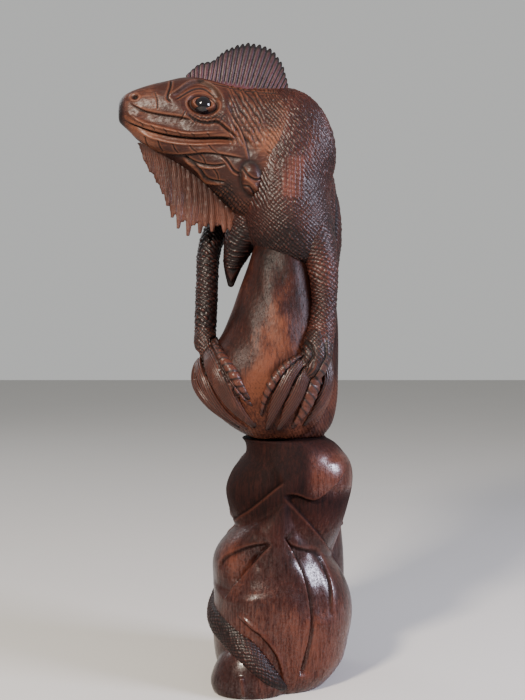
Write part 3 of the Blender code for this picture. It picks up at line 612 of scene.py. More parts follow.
class Block:
    """A block of wood that is cut along its surface."""

    def __init__(self, name: str, form: Form) -> None:
        """Takes a closed form as the uncut block."""
        self.name = name
        self.mesh = bpy.data.meshes.new(name)
        self.mesh.from_pydata(form.points.tolist(), [], form.faces)
        self.reset()

    @classmethod
    def grown(cls, name: str, forms: Iterable[Form], voxel: float, relax: int) -> "Block":
        """Grows overlapping forms into one block.

        Args:
            name: The piece's name.
            forms: The closed forms.
            voxel: The size of its facets, in millimetres.
            relax: How often its surface is evened out.

        Returns:
            The block.
        """
        points, faces, base = [], [], 0
        for form in forms:
            points.append(form.points)
            faces += [tuple(i + base for i in face) for face in form.faces]
            base += len(form.points)
        block = cls(name, Form(np.vstack(points), faces))
        holder = bpy.data.objects.new(name + "_rough", block.mesh)
        bpy.context.scene.collection.objects.link(holder)
        remesh = holder.modifiers.new("grown", "REMESH")
        remesh.mode = "VOXEL"
        remesh.voxel_size = voxel * MM
        bpy.context.view_layer.update()
        graph = bpy.context.evaluated_depsgraph_get()
        block.mesh = bpy.data.meshes.new_from_object(holder.evaluated_get(graph))
        block.mesh.name = name
        bpy.data.objects.remove(holder)
        block.reset()
        block.relax(relax)
        return block

    def reset(self) -> None:
        """Reads the mesh afresh, with no cuts or marks."""
        count = len(self.mesh.vertices)
        flat = np.empty(count * 3, np.float32)
        self.mesh.vertices.foreach_get("co", flat)
        self.points = flat.reshape(-1, 3).astype(float)
        edges = np.empty(len(self.mesh.edges) * 2, np.int32)
        self.mesh.edges.foreach_get("vertices", edges)
        self.edges = edges.reshape(-1, 2)
        self.cut = np.zeros(count)
        self.marks = {name: np.zeros(count) for name in MARKS}

    def relax(self, times: int, strength: float = 0.6, back: float = 0.94) -> None:
        """Evens the surface out, each time pushing it back by the share back, so that it doesn't shrink."""
        a, b = self.edges.T
        count = len(self.points)
        ends = np.concatenate([a, b])
        others = np.concatenate([b, a])
        degree = np.maximum(np.bincount(ends, minlength=count), 1)
        for turn in range(2 * times):
            near = np.stack([np.bincount(ends, self.points[others, k], count) for k in range(3)], -1)
            pull = strength if turn % 2 == 0 else -strength * back
            self.points += pull * (near / degree[:, None] - self.points)
        self.write()

    def write(self) -> None:
        """Puts the points back in the mesh."""
        self.mesh.vertices.foreach_set("co", self.points.astype(np.float32).ravel())
        self.mesh.update()

    @property
    def normals(self) -> np.ndarray:
        """The surface's own directions, one row for each point."""
        flat = np.empty(len(self.mesh.vertices) * 3, np.float32)
        self.mesh.vertex_normals.foreach_get("vector", flat)
        return flat.reshape(-1, 3).astype(float)

    def mark(self, name: str, amount: np.ndarray) -> None:
        """Strengthens a mark to at least amount."""
        self.marks[name] = np.maximum(self.marks[name], amount)

    def press(self) -> None:
        """Carries out the cuts so far."""
        self.points = self.points + self.normals * (self.cut * MM)[:, None]
        self.cut = np.zeros(len(self.points))
        self.write()

    def groove(
        self,
        chart: np.ndarray,
        line: Line,
        width: float,
        depth: float,
        mask: np.ndarray | float = 1.0,
        ends: float = 0.12,
    ) -> None:
        """Cuts a V along a line.

        Args:
            chart: The block's points in the line's flat chart, in millimetres.
            line: The line's points.
            width: Half the groove's width.
            depth: Its depth.
            mask: Where it is cut.
            ends: The share of its length over which it runs out.
        """
        far, share, _ = near_line(chart, smooth(line, LINE_STEPS))
        fade = running_out(share, ends, 0.15) * mask
        shape = np.clip(1.0 - far / width, 0.0, 1.0) ** 1.3 * fade
        self.cut -= depth * shape
        self.mark("recess", ease(shape * 1.3))
        # The groove's edges are paled: wear, and a painted highlight.
        self.mark("wear_and_highlight", bell((far - 1.35 * width) / (0.6 * width)) * fade * 0.6)

    def swell(
        self, chart: np.ndarray, line: Line, width: float, height: float, mask: np.ndarray | float = 1.0
    ) -> None:
        """Raises a soft roll along a line, or with a negative height hollows it, and leaves no marks."""
        far, share, _ = near_line(chart, smooth(line, LINE_STEPS - 1))
        self.cut += height * bell(far / width) * running_out(share, 0.25, 0.2) * mask

    def ridge(
        self,
        chart: np.ndarray,
        line: Line,
        width: float,
        height: float,
        mask: np.ndarray | float = 1.0,
        ends: float = 0.2,
    ) -> None:
        """Leaves a rounded ridge standing along a line; the arguments are as for a groove."""
        far, share, _ = near_line(chart, smooth(line, LINE_STEPS))
        shape = bell(far / width) * running_out(share, ends, 0.1) * mask
        self.cut += height * shape
        # The ridge's top is paled: wear, and a painted highlight.
        self.mark("wear_and_highlight", shape**2)

    def terrace(
        self,
        chart: np.ndarray,
        line: Line,
        drop: float,
        reach: float,
        low_side: float,
        mask: np.ndarray | float = 1.0,
        ends: float = 0.12,
        edge: float = 0.5,
    ) -> None:
        """Cuts the surface away on one side of a line, as under a petal's edge.

        Args:
            chart: The block's points in the line's chart.
            line: The petal's edge.
            drop: How far the low side is cut.
            reach: How far from the edge the cut runs out.
            low_side: 1 for the line's left side, -1 for its right.
            mask: Where it is cut.
            ends: The share of the line over which it runs out.
            edge: How wide the step itself is.
        """
        far, share, side = near_line(chart, smooth(line, LINE_STEPS))
        signed = far * side * low_side
        fade = running_out(share, ends) * mask
        self.cut -= drop * ease(signed / edge + 0.5) * np.exp(-np.maximum(signed, 0.0) / reach) * fade
        self.mark("recess", bell((signed - 0.3) / 0.7) * fade * 0.85)
        # The step's high edge is paled: wear, and a painted highlight.
        self.mark("wear_and_highlight", bell((signed + 0.9) / 0.7) * fade * 0.9)

    def ring(
        self, chart: np.ndarray, centre: Row, radii: Row, width: float, height: float, tilt: float = 0.0
    ) -> None:
        """Leaves a raised ring, or with a negative height cuts one.

        Args:
            chart: The block's points in the ring's chart.
            centre: The ring's middle.
            radii: Its two radii.
            width: Half its own width.
            height: How far it stands up.
            tilt: Its turn, in radians.
        """
        c, s = math.cos(tilt), math.sin(tilt)
        out = chart - np.array(centre)
        x, z = out[:, 0] * c + out[:, 1] * s, out[:, 1] * c - out[:, 0] * s
        far = (np.hypot(x / radii[0], z / radii[1]) - 1.0) * min(radii)
        shape = bell(far / width)
        self.cut += height * shape
        # A raised ring is paled as wear and a painted highlight; a cut ring is stained dark.
        self.mark("wear_and_highlight" if height > 0.0 else "recess", shape * 0.8)

    def scales(self, u: np.ndarray, v: np.ndarray, pattern: Scales, mask: np.ndarray | float = 1.0) -> None:
        """Stipples the surface with rows of small raised scales.

        Args:
            u: Millimetres across, for each point.
            v: Millimetres along.
            pattern: The scales.
            mask: Where they are cut.
        """
        seed, slant, rows = pattern.seed, pattern.slant, pattern.rows
        wander = 0.26 * np.sin(u * 0.31 + seed) * np.sin(v * 0.17) + 0.24 * np.sin(v * 0.27 - seed)
        wander += 0.09 * np.sin(u * 1.1 + v * 0.7) + 0.07 * np.sin(v * 1.3 - u * 0.9 + seed)
        p = (u + v * (1.0 + slant)) / pattern.size + wander
        q = (u - v * (1.0 - slant)) / pattern.size - wander
        chance = cell_noise(np.floor(p), np.floor(q), seed)
        across, between = np.abs(np.sin(math.pi * p)), np.abs(np.sin(math.pi * q))
        dome = across**0.6 * (1.0 - rows + rows * between**0.6)
        self.cut += pattern.height * mask * (dome * (0.62 + 0.7 * chance) - 0.75)
        self.mark("recess", ease((1.0 - dome) * 1.5 - 0.25) * mask * 0.95)
        # Some scale tops are paled: wear, and painted highlights.
        self.mark("wear_and_highlight", ease(dome * 1.6 - 0.85) * (0.1 + 0.9 * chance**1.5) * mask)

    def piece(self, finish: Finish, *nodes: str) -> bpy.types.Object:
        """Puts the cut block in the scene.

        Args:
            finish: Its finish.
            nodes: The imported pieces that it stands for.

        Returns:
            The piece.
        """
        self.press()
        for name, values in self.marks.items():
            layer = self.mesh.attributes.new(name, "FLOAT", "POINT")
            layer.data.foreach_set("value", np.clip(values, -1.0, 1.0).astype(np.float32))
        self.mesh.materials.clear()
        self.mesh.materials.append(FINISHES.get(finish))
        self.mesh.shade_smooth()
        obj = bpy.data.objects.new(self.name, self.mesh)
        bpy.context.scene.collection.objects.link(obj)
        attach(obj, BODY)
        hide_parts(*nodes)
        LOG.info("%s: %d points, for %s", self.name, len(self.points), ", ".join(nodes))
        return obj

    def tree(self) -> BVHTree:
        """The surface, for laying other pieces on it."""
        faces = [tuple(p.vertices) for p in self.mesh.polygons]
        return BVHTree.FromPolygons(self.points.tolist(), faces)


class Finishes:
    """The shop's finishes, each made once."""

    def __init__(self) -> None:
        """Starts with none made."""
        self.made: dict[str, bpy.types.Material] = {}

    def get(self, finish: Finish) -> bpy.types.Material:
        """The finish's material."""
        if finish.name not in self.made:
            self.made[finish.name] = finish.material()
        return self.made[finish.name]


FINISHES = Finishes()
HIDE = StainedWood(
    "scaled_hide", "dark_stained_wood",
    (0.0060, 0.0022, 0.0022), (0.0225, 0.0066, 0.0052), (0.104, 0.032, 0.022), (0.0014, 0.0008, 0.0009),
    roughness=0.33, coat=0.02, wear_and_highlight_amount=0.45, facets=0.25, shine=0.21,
)
FACE = StainedWood(
    "carved_face", "dark_stained_wood",
    (0.0066, 0.0026, 0.0025), (0.026, 0.0080, 0.0056), (0.140, 0.051, 0.026), (0.0012, 0.0007, 0.0008),
    roughness=0.40, wear_and_highlight_amount=0.6, facets=0.8, grain=Grain.LENGTHWISE,
)
TRUNK = StainedWood(
    "polished_trunk", "red_stained_wood",
    (0.0060, 0.0019, 0.0018), (0.023, 0.0058, 0.0042), (0.080, 0.0225, 0.0125), (0.0014, 0.0007, 0.0008),
    roughness=0.34, coat=0.9, streaks=0.75, wear_and_highlight_amount=0.36, stipple=0.7, shine=0.09,
)
KNOB = StainedWood(
    "rubbed_knot", "red_stained_wood",
    (0.0045, 0.0017, 0.0016), (0.021, 0.0058, 0.0040), (0.088, 0.0285, 0.0150), (0.0012, 0.0006, 0.0007),
    roughness=0.46, streaks=0.9, facets=0.7, shine=0.12, uneven=0.75,
)
HANDS = StainedWood(
    "carved_hands", "red_stained_wood",
    (0.0058, 0.0021, 0.0019), (0.0235, 0.0068, 0.0047), (0.122, 0.038, 0.0225), (0.0012, 0.0006, 0.0007),
    roughness=0.36, coat=0.03, wear_and_highlight_amount=0.6, facets=0.6, shine=0.26,
)
COMB = StainedWood(
    "plum_comb", "plum_stained_wood",
    (0.0040, 0.0016, 0.0026), (0.017, 0.0050, 0.0070), (0.075, 0.024, 0.030), (0.0012, 0.0007, 0.0010),
    roughness=0.42, wear_and_highlight_amount=0.45,
)
FRINGE = StainedWood(
    "pale_fringe", "light_stained_wood",
    (0.0080, 0.0030, 0.0023), (0.0290, 0.0096, 0.0062), (0.096, 0.035, 0.023), (0.0026, 0.0012, 0.0012),
    roughness=0.36, coat=0.02, shine=0.26,
)
DOWEL = BareWood("bare_dowel", "bare_wood")
BEAD = PolishedBead("black_bead", "polished_bead")


# ------------------------------------------------------------------------------
# The trunk
# ------------------------------------------------------------------------------


@dataclass
class Plinth:
    """The lower trunk: a bud of wood under a rounder lobe, with lobes at its foot and back."""

    template: Template
    voxel: float = 0.72
    lower: Sequence[Row] = (
        (0.0, -34.0, 28.0, -36.0, 32.0),
        (5.0, -38.0, 33.0, -39.0, 36.0),
        (14.0, -41.5, 39.5, -41.0, 39.5),
        (26.0, -43.0, 42.5, -42.0, 41.5),
        (40.0, -43.5, 45.0, -42.5, 42.0),
        (52.0, -42.5, 44.0, -42.0, 41.0),
        (64.0, -43.5, 39.5, -40.5, 38.5),
        (76.0, -43.0, 31.5, -38.5, 35.0),
        (86.0, -37.5, 24.5, -37.0, 30.0),
        (96.0, -27.0, 17.0, -35.5, 22.0),
        (106.0, -12.0, 9.0, -34.0, 4.0),
        (112.0, -2.0, 4.0, -33.2, -22.0),
    )
    upper: Sequence[Row] = (
        (70.0, -20.0, 30.0, -22.0, 28.0),
        (84.0, -24.5, 35.5, -26.0, 32.0),
        (96.0, -30.0, 39.5, -29.0, 35.0),
        (108.0, -34.0, 43.0, -31.0, 37.0),
        (119.0, -35.0, 45.5, -32.0, 38.0),
        (130.0, -30.5, 45.5, -31.0, 37.5),
        (139.0, -23.0, 41.0, -28.5, 35.0),
        (146.0, -22.5, 35.0, -26.0, 32.0),
        (150.0, -25.0, 28.0, -25.0, 29.0),
    )
    toe: Sequence[Row] = (
        (0.0, -42.0, 3.0, -45.0, -6.0),
        (6.0, -43.5, 5.0, -46.5, -4.0),
        (14.0, -41.0, 4.0, -45.5, -4.0),
        (22.0, -36.0, -2.0, -42.0, -8.0),
        (29.0, -28.0, -12.0, -36.0, -16.0),
    )
    rear: Sequence[Row] = (
        (8.0, 6.0, 34.0, 14.0, 42.0),
        (30.0, 2.0, 40.0, 12.0, 44.0),
        (56.0, 2.0, 42.0, 10.0, 43.5),
        (80.0, 6.0, 41.0, 10.0, 42.0),
        (100.0, 12.0, 38.0, 12.0, 38.5),
        (114.0, 18.0, 32.0, 18.0, 32.0),
    )
    # Edges of the petals, as (x, z) seen from the front.
    petal_left: Line = ((2.3, 127.0), (-4.8, 122.3), (-19.8, 109.1), (-28.1, 102.0), (-35.9, 90.0))
    petal_right: Line = (
        (0.5, 118.7), (8.3, 110.3), (16.1, 102.0), (26.0, 90.0), (33.8, 76.3), (40.0, 60.0),
    )
    bud_left: Line = (
        (-6.0, 90.6), (-13.2, 84.0), (-21.0, 76.3), (-26.8, 69.8), (-31.3, 62.7), (-34.5, 55.0),
    )
    bud_right: Line = (
        (1.1, 94.4), (6.3, 87.3), (12.8, 75.1), (16.7, 60.1), (17.9, 47.1), (16.1, 34.2),
        (12.8, 21.3), (10.1, 11.0),
    )
    hollow_left: Line = ((-6.0, 90.6), (-21.6, 88.2), (-35.9, 79.6), (-40.0, 70.0))
    hollow_right: Line = ((1.1, 94.4), (8.3, 88.6), (22.5, 82.8), (29.0, 71.1), (31.5, 60.1), (31.0, 44.0))
    boss: Line = ((-25.0, 60.0), (-23.0, 50.0), (-15.0, 36.0))
    shoulder: Line = ((38.0, 142.0), (40.0, 130.0), (37.0, 118.0))
    dish_left: Line = ((-13.0, 84.0), (-23.5, 77.0), (-31.5, 64.0))
    dish_right: Line = ((8.0, 86.0), (20.0, 76.0), (25.5, 60.0), (25.0, 42.0))
    bud_facet: Line = (
        (-31.9, 57.0), (-24.4, 63.5), (-14.0, 65.5), (-4.9, 63.6), (3.0, 62.0), (8.6, 58.0),
        (12.0, 48.0), (13.1, 38.0),
    )
    lobe_crease: Line = (
        (0.5, 118.7), (8.9, 118.1), (19.7, 114.5), (28.0, 118.7), (37.0, 127.6), (42.0, 137.0),
    )
    tail_edge: Line = ((-27.4, 48.4), (-21.0, 43.2), (-11.9, 35.5), (-4.1, 25.7), (-0.8, 16.1), (1.1, 7.0))
    toe_ridge: Line = ((-24.8, 14.4), (-23.5, 7.0), (-22.5, 0.8))

    def rough(self) -> Block:
        """Grows the uncut plinth."""
        forms = [stack(self.template, rows) for rows in (self.lower, self.upper, self.toe, self.rear)]
        return Block.grown("plinth_carved", forms, self.voxel, relax=10)

    def carve(self, block: Block) -> bpy.types.Object:
        """Cuts the petals and hollows, and stains the block, with a painted highlight on the left crescent."""
        drawn = self.template.read(block.points)
        chart = drawn[:, (0, 2)]
        front = ease(-block.normals[:, 1] * 2.2 + 0.35) * ease((10.0 - drawn[:, 1]) / 16.0)
        # Each edge: its line, the drop beside it, how far that reaches, its low side, its ends and its width.
        for line, drop, reach, low_side, ends, edge in (
            (self.petal_left, 2.8, 10.0, -1.0, 0.1, 0.5),
            (self.petal_right, 3.0, 10.0, 1.0, 0.1, 0.5),
            (self.bud_left, 4.2, 7.0, -1.0, 0.1, 0.5),
            (self.bud_right, 4.2, 6.0, 1.0, 0.05, 0.5),
            (self.hollow_left, 1.3, 7.0, 1.0, 0.2, 1.0),
            (self.hollow_right, 1.3, 8.0, -1.0, 0.2, 1.4),
            (self.lobe_crease, 3.0, 12.0, -1.0, 0.15, 0.5),
            (self.tail_edge, 1.6, 4.0, -1.0, 0.2, 0.5),
        ):
            block.terrace(chart, line, drop, reach, low_side, front, ends, edge)
        # Each soft roll or hollow: its line, half its width, and how far it stands up.
        for line, width, height in (
            (self.dish_left, 6.0, -3.3),
            (self.dish_right, 6.0, -2.4),
            (self.boss, 13.0, 2.1),
            (self.shoulder, 9.0, 1.5),
        ):
            block.swell(chart, line, width, height, front)
        self.facet(block, chart, front)
        block.ridge(chart + np.array((-1.0, -1.2)), self.tail_edge, 1.2, 1.0, front)
        block.ridge(chart, self.toe_ridge, 1.6, 1.6, front)
        self.back_petals(block, drawn)
        self.stain(block, drawn, front)
        return block.piece(TRUNK, "plinth")

    def facet(self, block: Block, chart: np.ndarray, front: np.ndarray) -> None:
        """Flattens the bud above its facet line."""
        far, share, side = near_line(chart, smooth(self.bud_facet, LINE_STEPS))
        signed = far * side
        block.cut -= 1.7 * ease(signed / 13.0 + 0.5) * bell(signed / 16.0) * running_out(share, 0.2) * front

    def stain(self, block: Block, drawn: np.ndarray, front: np.ndarray) -> None:
        """Reddens the foot and right lobe, darkens and dulls the top, and paints a highlight on the left
        crescent.
        """
        x, _, z = drawn.T
        lobe = ease((x - 14.0) / 6.0) * ease((z - 112.0) / 10.0) * ease((150.0 - z) / 12.0)
        tone_and_painted_light = ease((66.0 - z) / 28.0) * 0.45 + ease((x - 10.0) / 25.0) * 0.2 - 0.5
        # A painted highlight on the left crescent.
        tone_and_painted_light += 0.75 * np.exp(-(((x + 30.0) / 9.0) ** 2 + ((z - 76.0) / 12.0) ** 2)) * front
        tone_and_painted_light += lobe * front * 0.8 - 0.35 * ease((z - 96.0) / 14.0)
        block.marks["tone_and_painted_light"] = tone_and_painted_light - 0.45 * ease((30.0 - z) / 8.0) * ease((-14.0 - x) / 6.0)
        block.mark("dull", ease((z - 82.0) / 32.0) * (1.0 - lobe * front))

    def back_petals(self, block: Block, drawn: np.ndarray) -> None:
        """Carries the petal edges on round the back."""
        back = ease((drawn[:, 1] - 2.0) / 10.0) * ease(block.normals[:, 1] * 2.2 + 0.3)
        chart = drawn[:, (0, 2)]
        for lean, foot in ((-1.0, 24.0), (1.0, 16.0)):
            steps = ((0.0, 0.0), (12.0, 16.0), (foot, 40.0), (foot + 3.0, 68.0), (foot - 2.0, 100.0))
            line = [(4.0 + lean * reach, 112.0 - fall) for reach, fall in steps]
            block.terrace(chart, line, 1.6, 9.0, -lean, back, 0.15)


@dataclass
class Perch:
    """The knot that the forefeet hold, and the post behind it."""

    template: Template
    voxel: float = 0.7
    knot: Sequence[Row] = (
        (150.0, -16.0, 10.0, -15.0, 16.0),
        (152.0, -22.0, 14.0, -23.0, 20.0),
        (156.0, -29.0, 19.0, -29.0, 24.0),
        (163.0, -38.0, 25.0, -34.0, 27.0),
        (173.0, -47.5, 30.5, -38.0, 29.0),
        (184.0, -52.0, 33.0, -40.0, 30.0),
        (194.0, -51.5, 33.0, -40.0, 30.0),
        (204.0, -46.0, 31.0, -38.5, 30.0),
        (215.0, -37.5, 27.5, -36.0, 29.0),
        (228.0, -32.0, 25.0, -33.0, 28.0),
        (243.0, -26.5, 23.0, -29.0, 26.0),
        (260.0, -20.5, 21.0, -25.0, 22.0),
        (272.0, -16.0, 18.0, -20.0, 18.0),
        (280.0, -9.0, 12.0, -12.0, 11.0),
    )
    post: Sequence[Row] = (
        (150.0, -12.0, 27.0, -8.0, 28.0),
        (158.0, -12.0, 33.5, -7.0, 32.0),
        (172.0, -12.0, 36.5, -5.0, 33.5),
        (192.0, -10.0, 37.6, -3.0, 34.0),
        (212.0, -8.0, 37.6, -2.0, 33.0),
        (232.0, -6.0, 36.2, -2.0, 32.0),
        (252.0, -6.0, 32.5, -2.0, 29.0),
        (266.0, -4.0, 26.0, 0.0, 24.0),
        (272.0, 2.0, 18.0, 4.0, 18.0),
    )
    # The middle line of the painted highlight down the knot's front, as (x, z).
    highlight_line: Line = ((-19.0, 178.0), (-14.0, 192.0), (-1.0, 210.0), (-5.0, 229.0), (9.0, 258.0))
    stroke_pitch: float = 2.1

    def rough(self) -> Block:
        """Grows the uncut perch."""
        forms = [stack(self.template, rows) for rows in (self.knot, self.post)]
        return Block.grown("perch_carved", forms, self.voxel, relax=10)

    def carve(self, block: Block) -> bpy.types.Object:
        """Leaves soft tool facets and strokes low down, a painted highlight down the front, painted shade on
        top.
        """
        x, _, z = self.template.read(block.points).T
        front = ease(-block.normals[:, 1] * 2.0 + 0.3)
        block.cut += 0.35 * np.sin(x * 0.33 + z * 0.12) * front
        middle = np.interp(z, *np.array(self.highlight_line).T[::-1])
        # A paler band down the front of the knot: a painted highlight.
        painted_highlight = bell((x - middle + 1.5 * np.sin(z * 0.3)) / 9.0) * front
        painted_highlight *= ease((268.0 - z) / 30.0) * ease((z - 172.0) / 14.0)
        under = ease((198.0 - z) / 14.0)
        strokes = np.abs(np.sin(math.pi * (x + 0.62 * z + 1.2 * np.sin(z * 0.14)) / self.stroke_pitch))
        block.cut -= 0.3 * (1.0 - strokes) * under * front
        block.mark("recess", ease(0.8 - strokes * 2.2) * under * front * 0.75)
        block.mark("wear_and_highlight", ease(strokes * 2.0 - 1.35) * under * front * 0.4)
        # A painted highlight down the front, lighter wood low down, and painted shade towards the top.
        block.marks["tone_and_painted_light"] = painted_highlight * 0.8 - 0.92 + 0.35 * under - 0.45 * ease((z - 218.0) / 22.0)
        return block.piece(KNOB, "perch")


# ------------------------------------------------------------------------------
# The animal
# ------------------------------------------------------------------------------


@dataclass
class Torso:
    """Neck hump and shoulders, the chest fold, and the body that goes down behind the trunk."""

    template: Template
    voxel: float = 0.56
    back_voxel: float = 0.6
    throat: Scales = Scales(2.3, 0.75, slant=0.45, rows=0.35, seed=4.0)
    flank: Scales = Scales(2.75, 0.75, slant=0.12, seed=3.0)
    hump: Scales = Scales(2.475, 0.9, slant=0.42, rows=0.36, seed=3.0)
    rear: Scales = Scales(2.75, 0.65, seed=5.0)
    shoulders: Sequence[Row] = (
        (256.0, -4.0, 30.0, -16.0, 24.0),
        (262.0, -12.0, 33.5, -24.0, 29.0),
        (272.0, -19.0, 34.5, -28.5, 32.0),
        (284.0, -24.0, 34.0, -31.0, 34.0),
        (298.0, -27.0, 31.5, -31.0, 34.0),
        (312.0, -28.0, 32.5, -30.5, 34.0),
        (326.0, -28.5, 35.0, -29.5, 33.5),
        (339.0, -27.5, 33.8, -27.5, 31.0),
        (349.0, -24.5, 30.3, -25.0, 28.0),
        (357.5, -20.5, 25.4, -21.5, 23.5),
        (364.0, -14.0, 19.0, -17.0, 18.0),
        (368.0, -6.0, 12.0, -10.5, 11.5),
        (369.8, 0.0, 7.0, -3.5, 6.5),
    )
    body: Sequence[Row] = (
        (14.0, 8.0, 312.0, 20.0),
        (19.5, 20.0, 292.0, 19.8),
        (21.0, 28.0, 272.0, 19.2),
        (17.0, 35.0, 248.0, 18.6),
        (11.0, 39.5, 220.0, 18.4),
        (5.0, 43.0, 190.0, 19.5),
        (2.0, 45.0, 160.0, 20.0),
        (-1.0, 45.0, 138.0, 18.0),
        (-6.0, 43.5, 118.0, 14.0),
        (-9.5, 41.0, 103.0, 11.0),
    )
    chest_fold: Sequence[Row] = (
        (-16.0, 0.0, 292.0, 14.0),
        (-25.0, 2.0, 276.0, 11.0),
        (-30.5, 3.0, 260.0, 6.5),
        (-32.0, 3.0, 247.0, 2.5),
    )
    groove_line: Line = ((36.0, 312.0), (36.5, 290.0), (34.0, 262.0), (31.0, 246.0))
    # The square net on the side of the hump: its middle, its half sizes and the pitch of its cuts.
    net_place: tuple[float, float] = (7.0, 311.0)
    net_half: tuple[float, float] = (8.0, 14.0)
    net_pitch: float = 2.9

    def build(self) -> list[bpy.types.Object]:
        """Makes the shoulders and the back."""
        return [self.front(), self.back()]

    def hide_chart(self, points: np.ndarray) -> tuple[np.ndarray, np.ndarray]:
        """Where points lie round the shoulders and down over the hump, in millimetres."""
        x, y, z = self.template.read(points).T
        angle = np.arctan2(y - 2.0, x - 3.0)
        rows = smooth(self.shoulders, 4)
        radius = (rows[:, 2] - rows[:, 1] + rows[:, 4] - rows[:, 3]) / 4.0
        run = np.concatenate([[0.0], np.cumsum(np.hypot(np.diff(rows[:, 0]), np.diff(radius)))])
        return angle * 30.0, np.interp(z, rows[:, 0], run)

    def front(self) -> bpy.types.Object:
        """Grows and cuts the hump, shoulders and chest."""
        forms = [stack(self.template, self.shoulders, 2.1), bone(self.template, self.chest_fold).tube()]
        block = Block.grown("torso_shoulders", forms, self.voxel, relax=5)
        drawn = self.template.read(block.points)
        x, y, z = drawn.T
        around, down = self.hide_chart(block.points)
        strokes = ease((-4.0 - x) / 7.0) * ease((z - 288.0) / 8.0) * (y < 4.0)
        block.scales(around * 0.95, down * 0.3, self.throat, strokes)
        patch = self.net(block, drawn)
        self.cover(block, x, z, (1.0 - strokes) * (1.0 - 0.7 * patch))
        block.marks["tone_and_painted_light"] = self.tone(x, z) + patch * 0.3 + strokes * 0.1
        return block.piece(HIDE, "torso")

    def net(self, block: Block, drawn: np.ndarray) -> np.ndarray:
        """Cuts the square net on the side that is seen, and gives its patch."""
        x, y, z = drawn.T
        out = np.abs(drawn[:, (0, 2)] - self.net_place) / self.net_half
        patch = ease((1.0 - out.max(-1)) * 4.0) * (y < 0.0)
        lines = np.stack([x, z + 0.2 * x]) / self.net_pitch
        near = np.abs(np.sin(math.pi * lines)).min(0)
        block.cut += 0.5 * (ease(near * 2.2) - 0.6) * patch
        block.mark("recess", ease(0.7 - near * 1.8) * patch)
        return patch

    def cover(self, block: Block, x: np.ndarray, z: np.ndarray, mask: np.ndarray) -> None:
        """Scales the shoulders, with longer strokes towards the top of the hump."""
        around, down = self.hide_chart(block.points)
        upper = ease((z - 306.0 + 0.4 * x) / 16.0)
        block.scales(around, down, self.flank, mask * (1.0 - upper))
        block.scales(around, down * 0.55, self.hump, mask * upper)

    @staticmethod
    def tone(x: np.ndarray, z: np.ndarray) -> np.ndarray:
        """How red the hide is at points of the template, darkest under the throat as painted shade."""
        cloud = 0.25 * np.sin(x * 0.21 + 1.0) * np.sin(z * 0.13)
        # The last term is painted shade under the throat.
        return cloud + ease((z - 290.0) / 60.0) * 0.1 - ease((292.0 - z) / 22.0) * 0.6

    def back(self) -> bpy.types.Object:
        """Grows and cuts the long back."""
        spine = bone(self.template, self.body)
        block = Block.grown("torso_back", [spine.tube(72)], self.back_voxel, relax=5)
        along, around, _ = spine.chart(block.points)
        block.scales(around, along, self.rear)
        chart = self.template.read(block.points)[:, (0, 2)]
        front = ease(-block.normals[:, 1] * 2.0 + 0.4)
        block.groove(chart, self.groove_line, 1.5, 1.3, front)
        block.marks["tone_and_painted_light"] = 0.2 * np.sin(along * 0.12) - 0.05
        return block.piece(HIDE, "torso")


